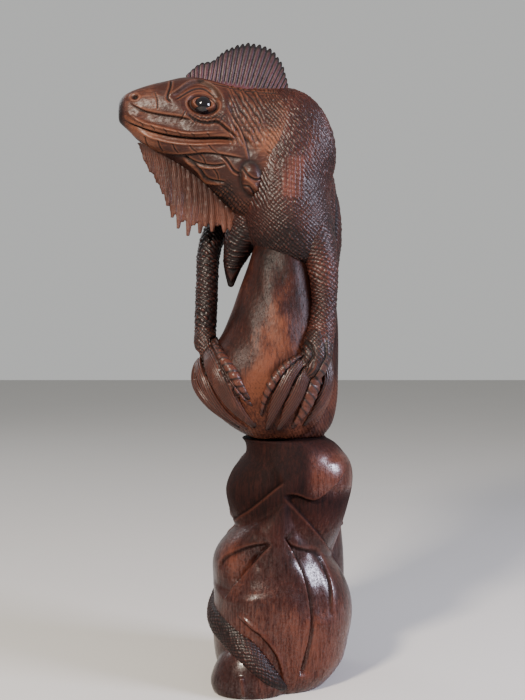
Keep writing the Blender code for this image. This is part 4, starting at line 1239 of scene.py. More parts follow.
@dataclass
class Head:
    """Skull and jaws, cut alike on both sides, whose nape carries the shoulders' scales on."""

    template: Template
    torso: Torso
    voxel: float = 0.46
    skull: Sequence[Row] = (
        (-102.6, 354.5, 349.5, 2.5),
        (-102.0, 358.6, 346.5, 5.0),
        (-99.6, 362.2, 344.0, 8.0),
        (-95.6, 364.8, 340.5, 10.8),
        (-91.0, 366.8, 335.8, 13.2),
        (-83.0, 369.6, 330.2, 15.5),
        (-73.0, 372.2, 325.0, 18.0),
        (-62.0, 374.8, 318.6, 20.3),
        (-50.0, 374.4, 309.6, 22.2),
        (-38.0, 371.6, 297.8, 23.8),
        (-26.0, 369.2, 287.8, 25.2),
        (-14.0, 369.2, 284.4, 26.6),
        (-6.0, 369.4, 284.6, 28.0),
        (3.0, 369.0, 285.0, 27.4),
        (9.0, 366.0, 289.0, 21.0),
    )
    eye_beads: Scales = Scales(2.6, 0.5, slant=0.2, rows=0.9, seed=7.0)
    cheek_strokes: Scales = Scales(2.5, 1.15, slant=0.5, rows=0.35, seed=9.0)
    jaw_scales: Scales = Scales(2.4, 0.7, slant=0.1, seed=2.0)
    eye: tuple[float, float] = (-51.6, 355.6)
    shield: tuple[float, float] = (-22.5, 309.5)
    upper_lip: Line = (
        (-98.0, 351.5), (-95.0, 348.5), (-89.4, 344.6), (-81.7, 342.0), (-70.5, 339.0), (-59.9, 337.0),
        (-46.2, 337.4), (-38.4, 338.0),
    )
    mouth: Line = (
        (-99.5, 347.5), (-96.0, 343.8), (-84.6, 339.0), (-70.5, 335.6), (-56.0, 334.2), (-40.4, 334.6),
        (-31.0, 333.0),
    )
    lower_lip: Line = (
        (-96.0, 341.2), (-84.0, 335.8), (-70.0, 332.0), (-56.0, 330.6), (-40.0, 331.0), (-31.0, 330.0),
    )
    chin_line: Line = (
        (-88.4, 331.6), (-74.9, 326.6), (-63.7, 325.0), (-51.1, 325.6), (-40.4, 324.3), (-26.6, 321.7),
    )
    plate_line: Line = ((-63.7, 324.3), (-56.0, 320.1), (-46.2, 317.9), (-38.4, 318.5))
    plate_slant: Line = ((-63.7, 324.3), (-54.0, 317.2), (-48.1, 310.6), (-37.4, 307.9))
    # Seams between the lips' plates: upper end, lower end, bow.
    lip_plates: Sequence[tuple[Row, Row, float]] = (
        ((-90.0, 344.6), (-88.0, 341.2), 0.4),
        ((-83.5, 342.4), (-81.0, 339.0), 0.4),
        ((-76.0, 340.4), (-73.5, 336.8), 0.4),
        ((-67.5, 338.6), (-65.0, 335.4), 0.4),
        ((-59.0, 337.2), (-57.0, 334.6), 0.4),
        ((-50.0, 337.4), (-48.0, 334.6), 0.4),
        ((-87.0, 336.6), (-84.0, 331.0), -0.6),
        ((-79.0, 334.0), (-75.0, 327.4), -0.6),
        ((-70.0, 331.6), (-66.0, 325.8), -0.6),
        ((-60.0, 330.4), (-55.0, 325.8), -0.6),
        ((-49.0, 330.4), (-43.0, 325.0), -0.6),
        ((-81.0, 363.0), (-79.5, 351.5), 0.8),
        ((-62.5, 351.0), (-66.0, 345.4), 0.3),
        ((-45.5, 316.5), (-42.0, 309.5), 0.8),
        ((-54.0, 324.6), (-50.0, 318.6), 0.6),
    )
    throat_line: Line = ((-80.0, 324.0), (-66.0, 315.5), (-54.0, 305.5), (-44.0, 297.0))
    jaw_corner: Line = ((-41.0, 324.0), (-37.4, 320.5), (-33.5, 315.0), (-29.0, 312.5))
    brow: Line = (
        (-72.5, 359.8), (-66.5, 363.8), (-60.5, 368.4), (-54.5, 370.6), (-48.0, 368.8), (-42.5, 363.8),
        (-38.8, 357.0),
    )
    brow_inner: Line = (
        (-69.0, 357.6), (-63.0, 362.0), (-57.5, 365.4), (-51.5, 366.4), (-46.0, 363.6), (-42.2, 357.8),
    )
    snout_side: Line = ((-92.0, 349.0), (-84.0, 346.5), (-72.0, 344.5), (-60.0, 342.0))
    jaw_roll: Line = ((-90.0, 336.0), (-76.0, 330.5), (-60.0, 328.0), (-44.0, 328.0))
    snout_seam: Line = ((-70.5, 371.5), (-71.5, 366.0), (-73.5, 359.0), (-71.0, 356.5))
    nose_fold: Line = (
        (-96.5, 356.5), (-92.0, 353.6), (-86.3, 350.9), (-77.2, 348.8), (-66.7, 347.2), (-57.6, 345.0),
    )
    cheek_fold: Line = (
        (-62.0, 350.0), (-57.0, 345.4), (-50.0, 343.4), (-43.5, 344.0), (-38.0, 340.0), (-31.0, 334.0),
    )
    ear_fold: Line = ((-38.0, 356.0), (-33.5, 347.0), (-28.5, 338.0), (-25.0, 326.0), (-24.0, 319.0))
    crest_fold: Line = ((-58.0, 371.0), (-48.0, 370.0), (-34.0, 367.4), (-20.0, 365.0), (-4.0, 364.0))
    nostril: tuple[float, float] = (-92.8, 359.8)
    # The lines on the jaw shield: two cuts and the roll between them.
    shield_cuts: Sequence[tuple[Line, float]] = (
        (((-28.5, 317.0), (-24.5, 312.0), (-20.0, 309.5), (-16.0, 310.5)), 1.1),
        (((-28.0, 306.0), (-23.5, 305.5), (-20.5, 301.0), (-20.0, 298.0)), 1.0),
    )
    shield_roll: Line = ((-28.5, 311.0), (-24.0, 309.0), (-20.0, 305.5), (-17.5, 301.5))

    def build(self) -> bpy.types.Object:
        """Grows and cuts the head."""
        x, top, bottom, half = smooth(self.skull, ROW_STEPS).T[:, :, None]
        unit = superellipse(88, 2.35)
        side = half * unit[:, 0]
        z = (top + bottom) / 2.0 + unit[:, 1] * (top - bottom) / 2.0
        rings = self.template.head_place(np.stack([np.broadcast_to(x, side.shape), side, z], -1))
        block = Block.grown("head_carved", [Form.loft(rings)], self.voxel, relax=5)
        self.features(block)
        return block.piece(FACE, "head")

    def features(self, block: Block) -> None:
        """Cuts the eye sockets, mouth, folds and plates."""
        drawn = self.template.head_read(block.points)
        x, side, z = drawn.T
        chart = drawn[:, (0, 2)]
        flank = ease(np.abs(side) / 5.0 - 0.3)
        socket = np.hypot(x - self.eye[0], (z - self.eye[1]) * 1.15)
        block.cut -= 2.2 * ease((14.0 - socket) / 6.0) * flank
        block.swell(chart, self.snout_side, 4.0, -1.4, flank)
        block.swell(chart, self.jaw_roll, 3.2, 1.1, flank)
        self.eye_rings(block, chart, socket)
        # Each edge: its line, the drop beside it, how far that reaches, its low side and its ends.
        for line, drop, reach, low_side, ends in (
            (self.brow, 2.6, 5.0, -1.0, 0.15),
            (self.mouth, 2.6, 3.6, -1.0, 0.1),
            (self.chin_line, 1.6, 3.0, -1.0, 0.12),
            (self.nose_fold, 1.7, 3.5, -1.0, 0.15),
            (self.ear_fold, 1.5, 4.0, 1.0, 0.2),
        ):
            block.terrace(chart, line, drop, reach, low_side, flank, ends)
        # Each groove: its line, half its width and its depth.
        for line, width, depth in (
            (self.brow_inner, 0.8, 0.8),
            (self.mouth, 1.2, 1.4),
            (self.throat_line, 1.0, 1.1),
            (self.plate_line, 0.9, 1.1),
            (self.plate_slant, 0.9, 1.1),
            (self.jaw_corner, 0.9, 1.1),
            (self.snout_seam, 0.9, 1.1),
            (self.cheek_fold, 1.1, 1.2),
            (self.crest_fold, 0.8, 0.7),
            *((self.plate_seam(*seam), 0.55, 0.6) for seam in self.lip_plates),
        ):
            block.groove(chart, line, width, depth, flank)
        # Each ridge: its line, how far it is moved, half its width, its height and its ends.
        for line, moved, width, height, ends in (
            (self.brow, (0.0, 0.0), 1.0, 1.5, 0.15),
            (self.upper_lip, (0.0, 0.0), 1.0, 1.5, 0.2),
            (self.lower_lip, (0.0, 0.0), 0.9, 1.2, 0.2),
            (self.plate_line, (0.3, 1.5), 0.6, 0.6, 0.2),
            (self.plate_slant, (0.3, 1.5), 0.6, 0.6, 0.2),
            (self.jaw_corner, (0.3, 1.5), 0.6, 0.6, 0.2),
            (self.cheek_fold, (0.0, -1.6), 0.8, 0.8, 0.2),
        ):
            block.ridge(chart + moved, line, width, height, flank, ends)
        self.shield_and_nose(block, chart, flank)
        self.hatching(block, x, z, socket, flank)

    @staticmethod
    def plate_seam(upper: Row, lower: Row, bow: float) -> Line:
        """A bowed seam between two of the lips' plates."""
        return (upper, ((upper[0] + lower[0]) / 2.0 + bow, (upper[1] + lower[1]) / 2.0), lower)

    def eye_rings(self, block: Block, chart: np.ndarray, socket: np.ndarray) -> None:
        """Rings the eye with a lid, a cut and a softer fold."""
        for radii, width, height, tilt in (
            ((6.0, 3.3), 1.1, 3.0, -0.18),
            ((8.2, 5.6), 0.6, -1.1, -0.14),
            ((10.4, 7.9), 0.6, 0.7, -0.1),
        ):
            block.ring(chart, self.eye, radii, width, height, tilt)
        block.mark("recess", ease((4.6 - socket) / 1.5))

    def shield_and_nose(self, block: Block, chart: np.ndarray, flank: np.ndarray) -> None:
        """Raises the round jaw shield and drills the nostril."""
        out = chart - self.shield
        far = np.hypot(out[:, 0] / 7.2, out[:, 1] / 11.0)
        block.cut += 2.2 * ease((1.0 - far) * 1.6) * flank
        block.ring(chart, self.shield, (6.6, 10.6), 1.1, -0.7, 0.25)
        for line, depth in self.shield_cuts:
            block.groove(chart, line, 0.8, depth)
        block.ridge(chart, self.shield_roll, 1.2, 0.9)
        out = chart - self.nostril
        far = np.hypot(out[:, 0], out[:, 1] * 1.2)
        block.cut -= 1.5 * ease((1.9 - far) / 1.3) * flank
        block.mark("recess", ease((2.1 - far) / 1.2) * flank)
        block.ring(chart, self.nostril, (2.9, 2.4), 0.6, 0.5)

    def hatching(
        self, block: Block, x: np.ndarray, z: np.ndarray, socket: np.ndarray, flank: np.ndarray
    ) -> None:
        """Cuts beads under the eye, strokes behind it and rows of scales at the nape."""
        under = ease((z - 341.0) / 3.0) * ease((352.0 - z) / 4.0) * ease((socket - 7.5) / 2.0)
        under *= ease((x + 62.0) / 5.0) * ease((-36.0 - x) / 5.0)
        block.scales(x, z, self.eye_beads, under * flank)
        nape = ease((x + 17.0) / 5.0)
        behind = ease((x + 38.0) / 4.0) * ease((z - 326.0) / 8.0) * flank * (1.0 - nape)
        block.scales(x * 0.8, z * 0.24, self.cheek_strokes, behind)
        self.torso.cover(block, x, z, nape)
        from_shield = np.hypot(x - self.shield[0], z - self.shield[1])
        low = ease((314.0 + 0.35 * (x + 30.0) - z) / 8.0) * ease((x + 62.0) / 10.0)
        low *= ease(from_shield / 4.0 - 2.6)
        block.scales(x, z, self.jaw_scales, low * (1.0 - nape))
        # The snout is lightened as a painted highlight, and its tip darkened.
        tone_and_painted_light = behind * 0.2 + ease((-74.0 - x) / 10.0) * 0.25 - ease((-98.5 - x) / 3.0) * 0.9 - 0.1
        blend = ease((x + 34.0) / 20.0)
        block.marks["tone_and_painted_light"] = tone_and_painted_light * (1.0 - blend) + self.torso.tone(x, z) * blend
        # A painted highlight along the lips and the jaw.
        block.marks["tone_and_painted_light"] += 0.2 * ease((346.0 - z) / 8.0) * ease((z - 322.0) / 6.0)
        # Painted shade under the jaw.
        block.marks["tone_and_painted_light"] -= 0.5 * ease((312.0 - z) / 10.0) * ease((-30.0 - x) / 6.0)


@dataclass
class Eyes:
    """The two beads let into the skull."""

    sides: int = 56
    rings: int = 40
    power: float = 2.06
    pole: float = 0.02

    def build(self) -> list[bpy.types.Object]:
        """Makes both beads, each with a faint flat where it was ground."""
        return [self.bead(side) for side in ("left", "right")]

    def bead(self, side: str) -> bpy.types.Object:
        """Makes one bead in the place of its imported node."""
        low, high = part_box(side + "_eye")
        middle, radius = np.array((low + high) / 2.0), (high - low).x / 2.0
        angle = np.linspace(self.pole, math.pi - self.pole, self.rings)[:, None]
        x, z = superellipse(self.sides, self.power).T
        unit = np.stack([x * np.sin(angle), -np.cos(angle) * np.ones(self.sides), -z * np.sin(angle)], -1)
        return Block(side + "_eye_bead", Form.loft(middle + radius * unit)).piece(BEAD, side + "_eye")


@dataclass
class Crest:
    """The ribbed comb: a fan of round ribs with a bead at each tip."""

    template: Template
    ribs: int = 25
    columns: int = 11
    steps: int = 58
    half_thickness: float = 2.0
    band_top: float = 0.12
    bead_place: float = 0.955
    outline: Line = (
        (-60.6, 376.8), (-54.1, 383.0), (-50.2, 385.2), (-46.1, 386.0), (-42.6, 387.2), (-39.6, 390.7),
        (-35.0, 393.9), (-29.0, 396.6), (-21.9, 398.9), (-13.7, 398.2), (-7.7, 396.8), (-3.6, 393.6),
        (0.6, 387.7), (3.1, 380.8), (4.7, 373.7), (4.6, 367.5),
    )
    root: Line = (
        (-60.6, 373.5), (-48.6, 370.6), (-38.6, 368.2), (-25.3, 365.4), (-12.6, 364.6), (4.2, 364.4),
    )

    def build(self) -> bpy.types.Object:
        """Makes the comb, rib by rib."""
        count = self.ribs * self.columns
        share = np.linspace(0.0, 1.0, count)
        tip = self.even(smooth(self.outline, ROW_STEPS), share)
        foot = self.even(smooth(self.root, ROW_STEPS), share)
        phase = share * self.ribs
        rib = (np.abs(np.sin(math.pi * phase)) ** 0.55)[:, None]
        chance = cell_noise(np.floor(phase), np.zeros(count), 1.0)[:, None]
        climb = np.linspace(0.0, 1.0, self.steps)
        rise = np.concatenate([climb, climb[::-1]])
        side = np.repeat((-1.0, 1.0), self.steps)
        band = ease((rise - self.band_top) / 0.1)
        bead = bell((rise - self.bead_place) / 0.035)
        length = 1.0 - (0.09 * (1.0 - rib) + 0.03 * chance) * (rise > 0.4)
        flat = foot[:, None] + (tip - foot)[:, None] * (rise * length)[..., None]
        thick = 0.45 + 0.55 * rib * band + (1.0 - band) * 0.3 + bead * 0.25 * rib
        thick = thick * (1.0 - 0.45 * ease(rise)) * ease((1.0 - rise) * 22.0 + 0.05) * self.half_thickness
        points = np.stack([flat[..., 0], side * thick, flat[..., 1]], -1)
        block = Block("crest_comb", Form.loft(self.template.head_place(points)))
        recess = ease(1.5 - rib * 1.6) * band + bead * 0.9 + ease((rise - 0.55) / 0.5) * 0.55
        # The rib tops are paled: wear, and painted highlights.
        wear_and_highlight = ease(rib * 2.4 - 1.55) * band * (0.25 + 0.75 * chance) * (1.0 - bead)
        # The band at the root is lightened as a painted reflection, and the middle of the height a little.
        tone_and_painted_light = (1.0 - band) * 0.5 + 0.25 * (1.0 - np.abs(rise - 0.5))
        self.note(block, "recess", np.clip(recess, 0.0, 1.0))
        # The painted highlights grow stronger towards the back of the comb.
        self.note(block, "wear_and_highlight", wear_and_highlight * (0.35 + 0.65 * share[:, None]))
        self.note(block, "tone_and_painted_light", np.broadcast_to(tone_and_painted_light, thick.shape))
        return block.piece(COMB, "crest")

    @staticmethod
    def even(line: np.ndarray, share: np.ndarray) -> np.ndarray:
        """Points at even shares of a line's length."""
        run = np.concatenate([[0.0], np.cumsum(np.linalg.norm(np.diff(line, axis=0), axis=1))])
        return np.stack([np.interp(share * run[-1], run, line[:, k]) for k in range(2)], -1)

    @staticmethod
    def note(block: Block, name: str, values: np.ndarray) -> None:
        """Sets a mark on the loft's ring points."""
        block.marks[name][: values.size] = values.ravel()


@dataclass
class Dewlap:
    """The chin fringe: long pointed tufts side by side, hanging from the jaw."""

    template: Template
    tufts: int = 27
    steps: int = 14
    sway: float = 0.45
    bow: float = 1.2
    stroke_pitch: float = 1.25
    voxel: float = 0.42
    jaw: Line = (
        (-88.5, 333.6), (-82.7, 331.0), (-75.7, 327.6), (-64.8, 321.4), (-51.3, 312.4), (-37.9, 298.2),
        (-29.7, 290.2), (-22.2, 283.0),
    )
    edge: Line = (
        (-88.5, 330.0), (-84.4, 318.5), (-77.1, 307.0), (-72.2, 295.0), (-66.6, 282.5), (-61.0, 276.6),
        (-54.6, 277.4), (-46.4, 279.0), (-36.0, 278.6), (-27.0, 277.5), (-21.5, 280.0),
    )

    def build(self) -> bpy.types.Object:
        """Makes the tufts and grows them together."""
        share = np.linspace(0.0, 1.0, self.tufts)
        roots = Crest.even(smooth(self.jaw, 5), share**1.9)
        tips = Crest.even(smooth(self.edge, 5), share)
        forms = [self.tuft(k, root, tip) for k, (root, tip) in enumerate(zip(roots, tips))]
        block = Block.grown("dewlap_fringe", [*forms, self.web(roots, tips)], self.voxel, relax=3)
        x, _, z = self.template.head_read(block.points).T
        wavy = (x + 0.6 * np.sin(z * 0.35) + 0.06 * (z - 300.0)) / self.stroke_pitch
        strokes = np.abs(np.sin(math.pi * wavy))
        depth = ease((np.interp(x, *np.array(self.jaw).T) - z) / 6.0)
        chance = cell_noise(np.floor(wavy), np.floor(z / 6.0))
        block.cut += 0.3 * (strokes**0.7 - 0.8) * depth
        block.mark("recess", ease(0.9 - strokes * 1.9) * depth * 0.8)
        block.mark("wear_and_highlight", ease(strokes * 2.0 - 1.2) * depth * chance)
        block.marks["tone_and_painted_light"] = 0.05 + 0.4 * ease((304.0 - z) / 22.0) - 0.4 * (1.0 - depth)
        return block.piece(FRINGE, "dewlap")

    def tuft(self, turn: int, root: np.ndarray, tip: np.ndarray) -> Form:
        """One flattened, tapering tuft: every other one is shorter, and every third leans the other way."""
        length = 1.0 if turn % 2 == 0 else 0.9 - 0.07 * cell_noise(np.array(turn), np.array(1.0), 2.0)
        sway = self.sway if turn % 3 == 0 else -self.sway
        t = np.linspace(0.0, 1.0, self.steps)
        flat = root + (tip - root) * length * t[:, None]
        line = np.stack([flat[:, 0] + np.sin(math.pi * t) * self.bow, sway * t, flat[:, 1]], -1)
        width = (2.7 - 0.9 * t**2) * (1.0 - 0.45 * ease(t * 5.0 - 4.0))
        thick = 2.6 - 1.5 * t
        across, out = superellipse(18, 2.0).T
        section = [across * width[:, None], -out * thick[:, None], np.zeros((self.steps, 18))]
        return Form.loft(self.template.head_place(line[:, None] + np.stack(section, -1)))

    def web(self, roots: np.ndarray, tips: np.ndarray) -> Form:
        """The thinner sheet between the tufts."""
        reach = 0.8 - 0.05 * np.cos(np.arange(len(roots)) * 2.4)
        inner = roots + (tips - roots) * reach[:, None]
        upper = roots + (0.0, 1.0)
        corners = ((upper, -1.9), (upper, 1.9), (inner, 1.1), (inner, -1.1))
        rings = [np.stack([flat[:, 0], np.full(len(flat), side), flat[:, 1]], -1) for flat, side in corners]
        return Form.loft(self.template.head_place(np.stack(rings, 1)))


@dataclass
class Foreleg:
    """A scaly foreleg, from the shoulder to the wrist."""

    template: Template
    name: str
    node: str
    path: Sequence[Row]
    scales: Scales
    tone: float

    def build(self) -> bpy.types.Object:
        """Makes the limb and cuts its scales."""
        line = bone(self.template, self.path, 40)
        block = Block(self.name, line.tube(110))
        along, around, _ = line.chart(block.points)
        block.scales(around * 0.62, along, self.scales)
        block.marks["tone_and_painted_light"] = 0.15 * np.sin(along * 0.15 + self.scales.seed) + self.tone
        return block.piece(HIDE, self.node)


@dataclass
class Forefoot:
    """A hand over the knot: ridged fingers side by side, some ringed, that end in claws."""

    template: Template
    name: str
    node: str
    wrist: Row
    fingers: Sequence[tuple[Line, float, float, bool]]
    seed: float
    pitch: float = 4.7
    stroke_pitch: float = 1.7
    voxel: float = 0.46

    def build(self, perch: BVHTree) -> bpy.types.Object:
        """Lays the fingers on the perch and grows them together.

        Args:
            perch: The perch's surface.

        Returns:
            The piece.
        """
        forms, bones = [], []
        for line, half, high, ringed in self.fingers:
            finger = self.finger(perch, line, half)
            bones.append((finger, ringed))
            swell = 1.0 - 0.15 * self.notch(finger.length, 0.35) if ringed else 1.0
            forms.append(finger.tube(36, swell, high / half))
        forms.append(self.palm(perch))
        block = Block.grown(self.name, forms, self.voxel, relax=2)
        self.cuts(block, bones)
        return block.piece(HANDS, self.node)

    def notch(self, along: np.ndarray, spread: float) -> np.ndarray:
        """1 in the notches between a finger's rings, and 0 on the rings."""
        return np.exp(-((np.mod(along, self.pitch) - self.pitch / 2.0) ** 2) / spread)

    def laid(self, perch: BVHTree, line: np.ndarray, proud: np.ndarray) -> tuple[np.ndarray, np.ndarray]:
        """Lays template points (x, z) on the perch's front, each so many millimetres proud of it.

        Args:
            perch: The perch's surface.
            line: The points.
            proud: How far out of the surface each is.

        Returns:
            The places, and the surface's directions there.
        """
        made, ups = [], []
        for (x, z), out in zip(line, proud):
            aim = self.template.place(np.array((x, 0.0, z)))
            hit, normal, _, _ = perch.ray_cast(Vector((aim[0], -CLEAR, aim[2])), Vector((0.0, 1.0, 0.0)))
            if hit is None:
                hit, normal, _, _ = perch.find_nearest(Vector(self.template.place(np.array((x, -10.0, z)))))
            made.append(np.array(hit) + np.array(normal) * out * MM)
            ups.append(np.array(normal))
        return np.array(made), np.array(ups)

    def finger(self, perch: BVHTree, line: Line, half: float) -> Bone:
        """A finger's bone, from knuckle to claw."""
        flat = smooth(line, 14)
        share = np.linspace(0.0, 1.0, len(flat))
        bulge = 0.62 + 0.42 * np.sin(math.pi * np.clip(share * 1.1, 0.0, 1.0))
        radius = half * bulge * (1.0 - 0.45 * share**4)
        places, ups = self.laid(perch, flat, 1.5 * (1.0 - share**3) - 0.4)
        even_out((places, ups), 10)
        return Bone(places, radius, ups)

    def palm(self, perch: BVHTree) -> Form:
        """The back of the hand, from the wrist to the knuckles."""
        x, y, z, radius = self.wrist
        start = self.template.place(np.array((x, y, z + 2.0)))
        knuckles = np.array([line[0] for line, *_ in self.fingers]).mean(0)
        middle = self.laid(perch, knuckles[None] - (0.0, 5.0), np.array([0.5]))[0][0]
        share = np.linspace(0.0, 1.0, 16)[:, None]
        places = start * (1.0 - share) + middle * share
        return Bone(places, radius * (1.0 + 0.16 * np.sin(math.pi * share[:, 0]))).tube(36)

    def cuts(self, block: Block, bones: list[tuple[Bone, bool]]) -> None:
        """Cuts the lines between the fingers, long strokes on them and scales on the back of the hand."""
        charts = [finger.chart(block.points) for finger, _ in bones]
        far = np.stack([chart[2] / (finger.radii.mean() * MM) for chart, (finger, _) in zip(charts, bones)])
        order = np.sort(far, axis=0)
        gap = bell((order[1] - order[0]) / 0.13)
        block.cut -= 1.5 * gap
        block.mark("recess", gap * 0.95)
        nearest = np.argmin(far, axis=0)
        for k, ((along, around, _), (finger, ringed)) in enumerate(zip(charts, bones)):
            mine = (nearest == k) * ease((finger.length[-1] - along) / 6.0) * ease(along / 5.0)
            if ringed:
                notch = self.notch(along + 0.35 * around, 0.3)
                block.mark("recess", notch * mine * 0.85)
                # The rings are paled: wear, and painted highlights.
                block.mark("wear_and_highlight", (1.0 - notch) * mine * 0.5)
            else:
                stroke = np.abs(np.sin(math.pi * around / self.stroke_pitch))
                block.cut -= 0.4 * (1.0 - stroke) * mine
                block.mark("recess", ease(0.85 - stroke * 1.6) * mine * 0.8)
                # The strokes' tops are paled: wear, and painted highlights.
                block.mark("wear_and_highlight", ease(stroke * 2.0 - 1.3) * mine * 0.7)
            block.marks["tone_and_painted_light"] += mine * 0.3 * ease((along - 8.0) / 18.0) - 0.06
        drawn = self.template.read(block.points)
        back = ease((drawn[:, 2] - self.wrist[2] + 14.0) / 6.0)
        block.scales(drawn[:, 0], drawn[:, 2], Scales(2.6, 0.35, rows=0.7, seed=self.seed), back)


@dataclass
class Hindleg:
    """A thigh, shin and spread foot on the back of the trunk."""

    template: Template
    name: str
    node: str
    path: Sequence[Row]
    toes: Sequence[Line]
    ankle_radius: float = 4.2
    voxel: float = 0.6

    def build(self, plinth: BVHTree) -> bpy.types.Object:
        """Lays the toes on the plinth, grows the limb and cuts its scales.

        Args:
            plinth: The plinth's surface.

        Returns:
            The piece.
        """
        leg = bone(self.template, self.path, 10)
        forms = [leg.tube(48), *(self.toe(plinth, toe).tube(22) for toe in self.toes)]
        block = Block.grown(self.name, forms, self.voxel, relax=3)
        along, around, _ = leg.chart(block.points)
        thigh = ease((leg.length[-1] + 3.0 - along) / 4.0)
        block.scales(around, along, Scales(2.6, 0.4, rows=0.7, seed=6.0), thigh)
        block.marks["tone_and_painted_light"] = (1.0 - thigh) * 0.3 - 0.05
        return block.piece(HIDE, self.node)

    def toe(self, plinth: BVHTree, line: Line) -> Bone:
        """A toe's bone, from the ankle to its claw, with a bulge at each joint."""
        flat = smooth(line, 10)
        share = np.linspace(0.0, 1.0, len(flat))
        radius = (3.4 - 1.7 * share) * (1.0 + 0.1 * np.sin(share * math.pi * 6.0))
        places = [laid_round(self.template, plinth, a, z, 0.35 * r) for (a, z), r in zip(flat, radius)]
        ankle = self.template.place(np.array(self.path[-1][:3]))
        return Bone(np.array([ankle, *places]), np.array([self.ankle_radius, *radius]))


def even_out(lines: Iterable[np.ndarray], times: int) -> None:
    """Smooths lines in place, and keeps their ends."""
    for _ in range(times):
        for line in lines:
            line[1:-1] = (line[:-2] + 2.0 * line[1:-1] + line[2:]) / 4.0


def laid_round(template: Template, surface: BVHTree, degrees: float, z: float, proud: float) -> np.ndarray:
    """A point at an angle round the trunk's middle, so many millimetres proud of its surface."""
    way = Vector((math.cos(math.radians(degrees)), math.sin(math.radians(degrees)), 0.0))
    level = template.place(np.array((0.0, 0.0, z)))[2]
    hit, normal, _, _ = surface.ray_cast(way * CLEAR + Vector((0.0, 0.0, level)), -way)
    return np.array(hit) + np.array(normal) * proud * MM


@dataclass
class Tail:
    """The tail, wound down round the plinth and sunk a little into it."""

    template: Template
    # Degrees round the trunk, level, radius, and the share of the radius that is sunk.
    path: Sequence[Row] = (
        (103.0, 105.0, 11.0, -0.4),
        (107.0, 92.0, 10.7, -0.1),
        (117.0, 77.0, 10.4, 0.25),
        (132.0, 63.0, 10.0, 0.55),
        (153.0, 49.5, 9.6, 0.75),
        (180.0, 41.5, 9.2, 0.7),
        (211.0, 37.5, 8.8, 0.6),
        (239.0, 28.0, 8.0, 0.5),
        (259.0, 14.5, 5.8, 0.5),
        (271.0, 5.6, 2.6, 0.5),
    )

    def build(self, plinth: BVHTree) -> bpy.types.Object:
        """Lays the tail on the plinth and cuts its scales.

        Args:
            plinth: The plinth's surface.

        Returns:
            The piece.
        """
        rows = smooth(self.path, 40)
        deep = np.array([laid_round(self.template, plinth, a, z, -sunk * r) for a, z, r, sunk in rows])
        high = np.array([laid_round(self.template, plinth, a, z, 6.0) for a, z, *_ in rows])
        even_out((deep, high), 400)
        ups = high - deep
        ups = ups / np.linalg.norm(ups, axis=1)[:, None]
        lift = np.interp(rows[:, 0], (103.0, 140.0, 271.0), (0.0, 0.42, 0.42)) * rows[:, 2] * MM
        line = Bone(deep + ups * lift[:, None], rows[:, 2], ups)
        block = Block("tail_carved", line.tube(110, 1.0, 0.72))
        along, around, _ = line.chart(block.points)
        tip = ease((line.length[-1] - along) / 14.0)
        block.scales(around, along, Scales(2.9, 0.65, rows=0.75, seed=8.0), 0.4 + 0.6 * tip)
        rows_across = np.abs(np.sin(math.pi * along / 3.2))
        start = ease((70.0 - along) / 20.0)
        block.cut -= 0.25 * (1.0 - rows_across) * start
        block.marks["tone_and_painted_light"] = 0.15 * np.sin(along * 0.1) - 0.45
        return block.piece(HIDE, "tail")


@dataclass
class Pegs:
    """The hidden dowels and pegs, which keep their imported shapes."""

    nodes: Sequence[str] = ("plinth_dowel", "perch_dowel", "neck_dowel", "hip_dowel", "tail_peg")
    paired: Sequence[str] = ("shoulder_peg", "wrist_peg", "hip_peg")

    def dress(self) -> None:
        """Gives each its bare wood."""
        names = [*self.nodes, *(f"{side}_{name}" for side in ("left", "right") for name in self.paired)]
        for name in names:
            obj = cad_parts[name]
            obj.data.materials.clear()
            obj.data.materials.append(FINISHES.get(DOWEL))
            LOG.info("%s: kept, in bare wood", name)


# ------------------------------------------------------------------------------
# The studio
# ------------------------------------------------------------------------------


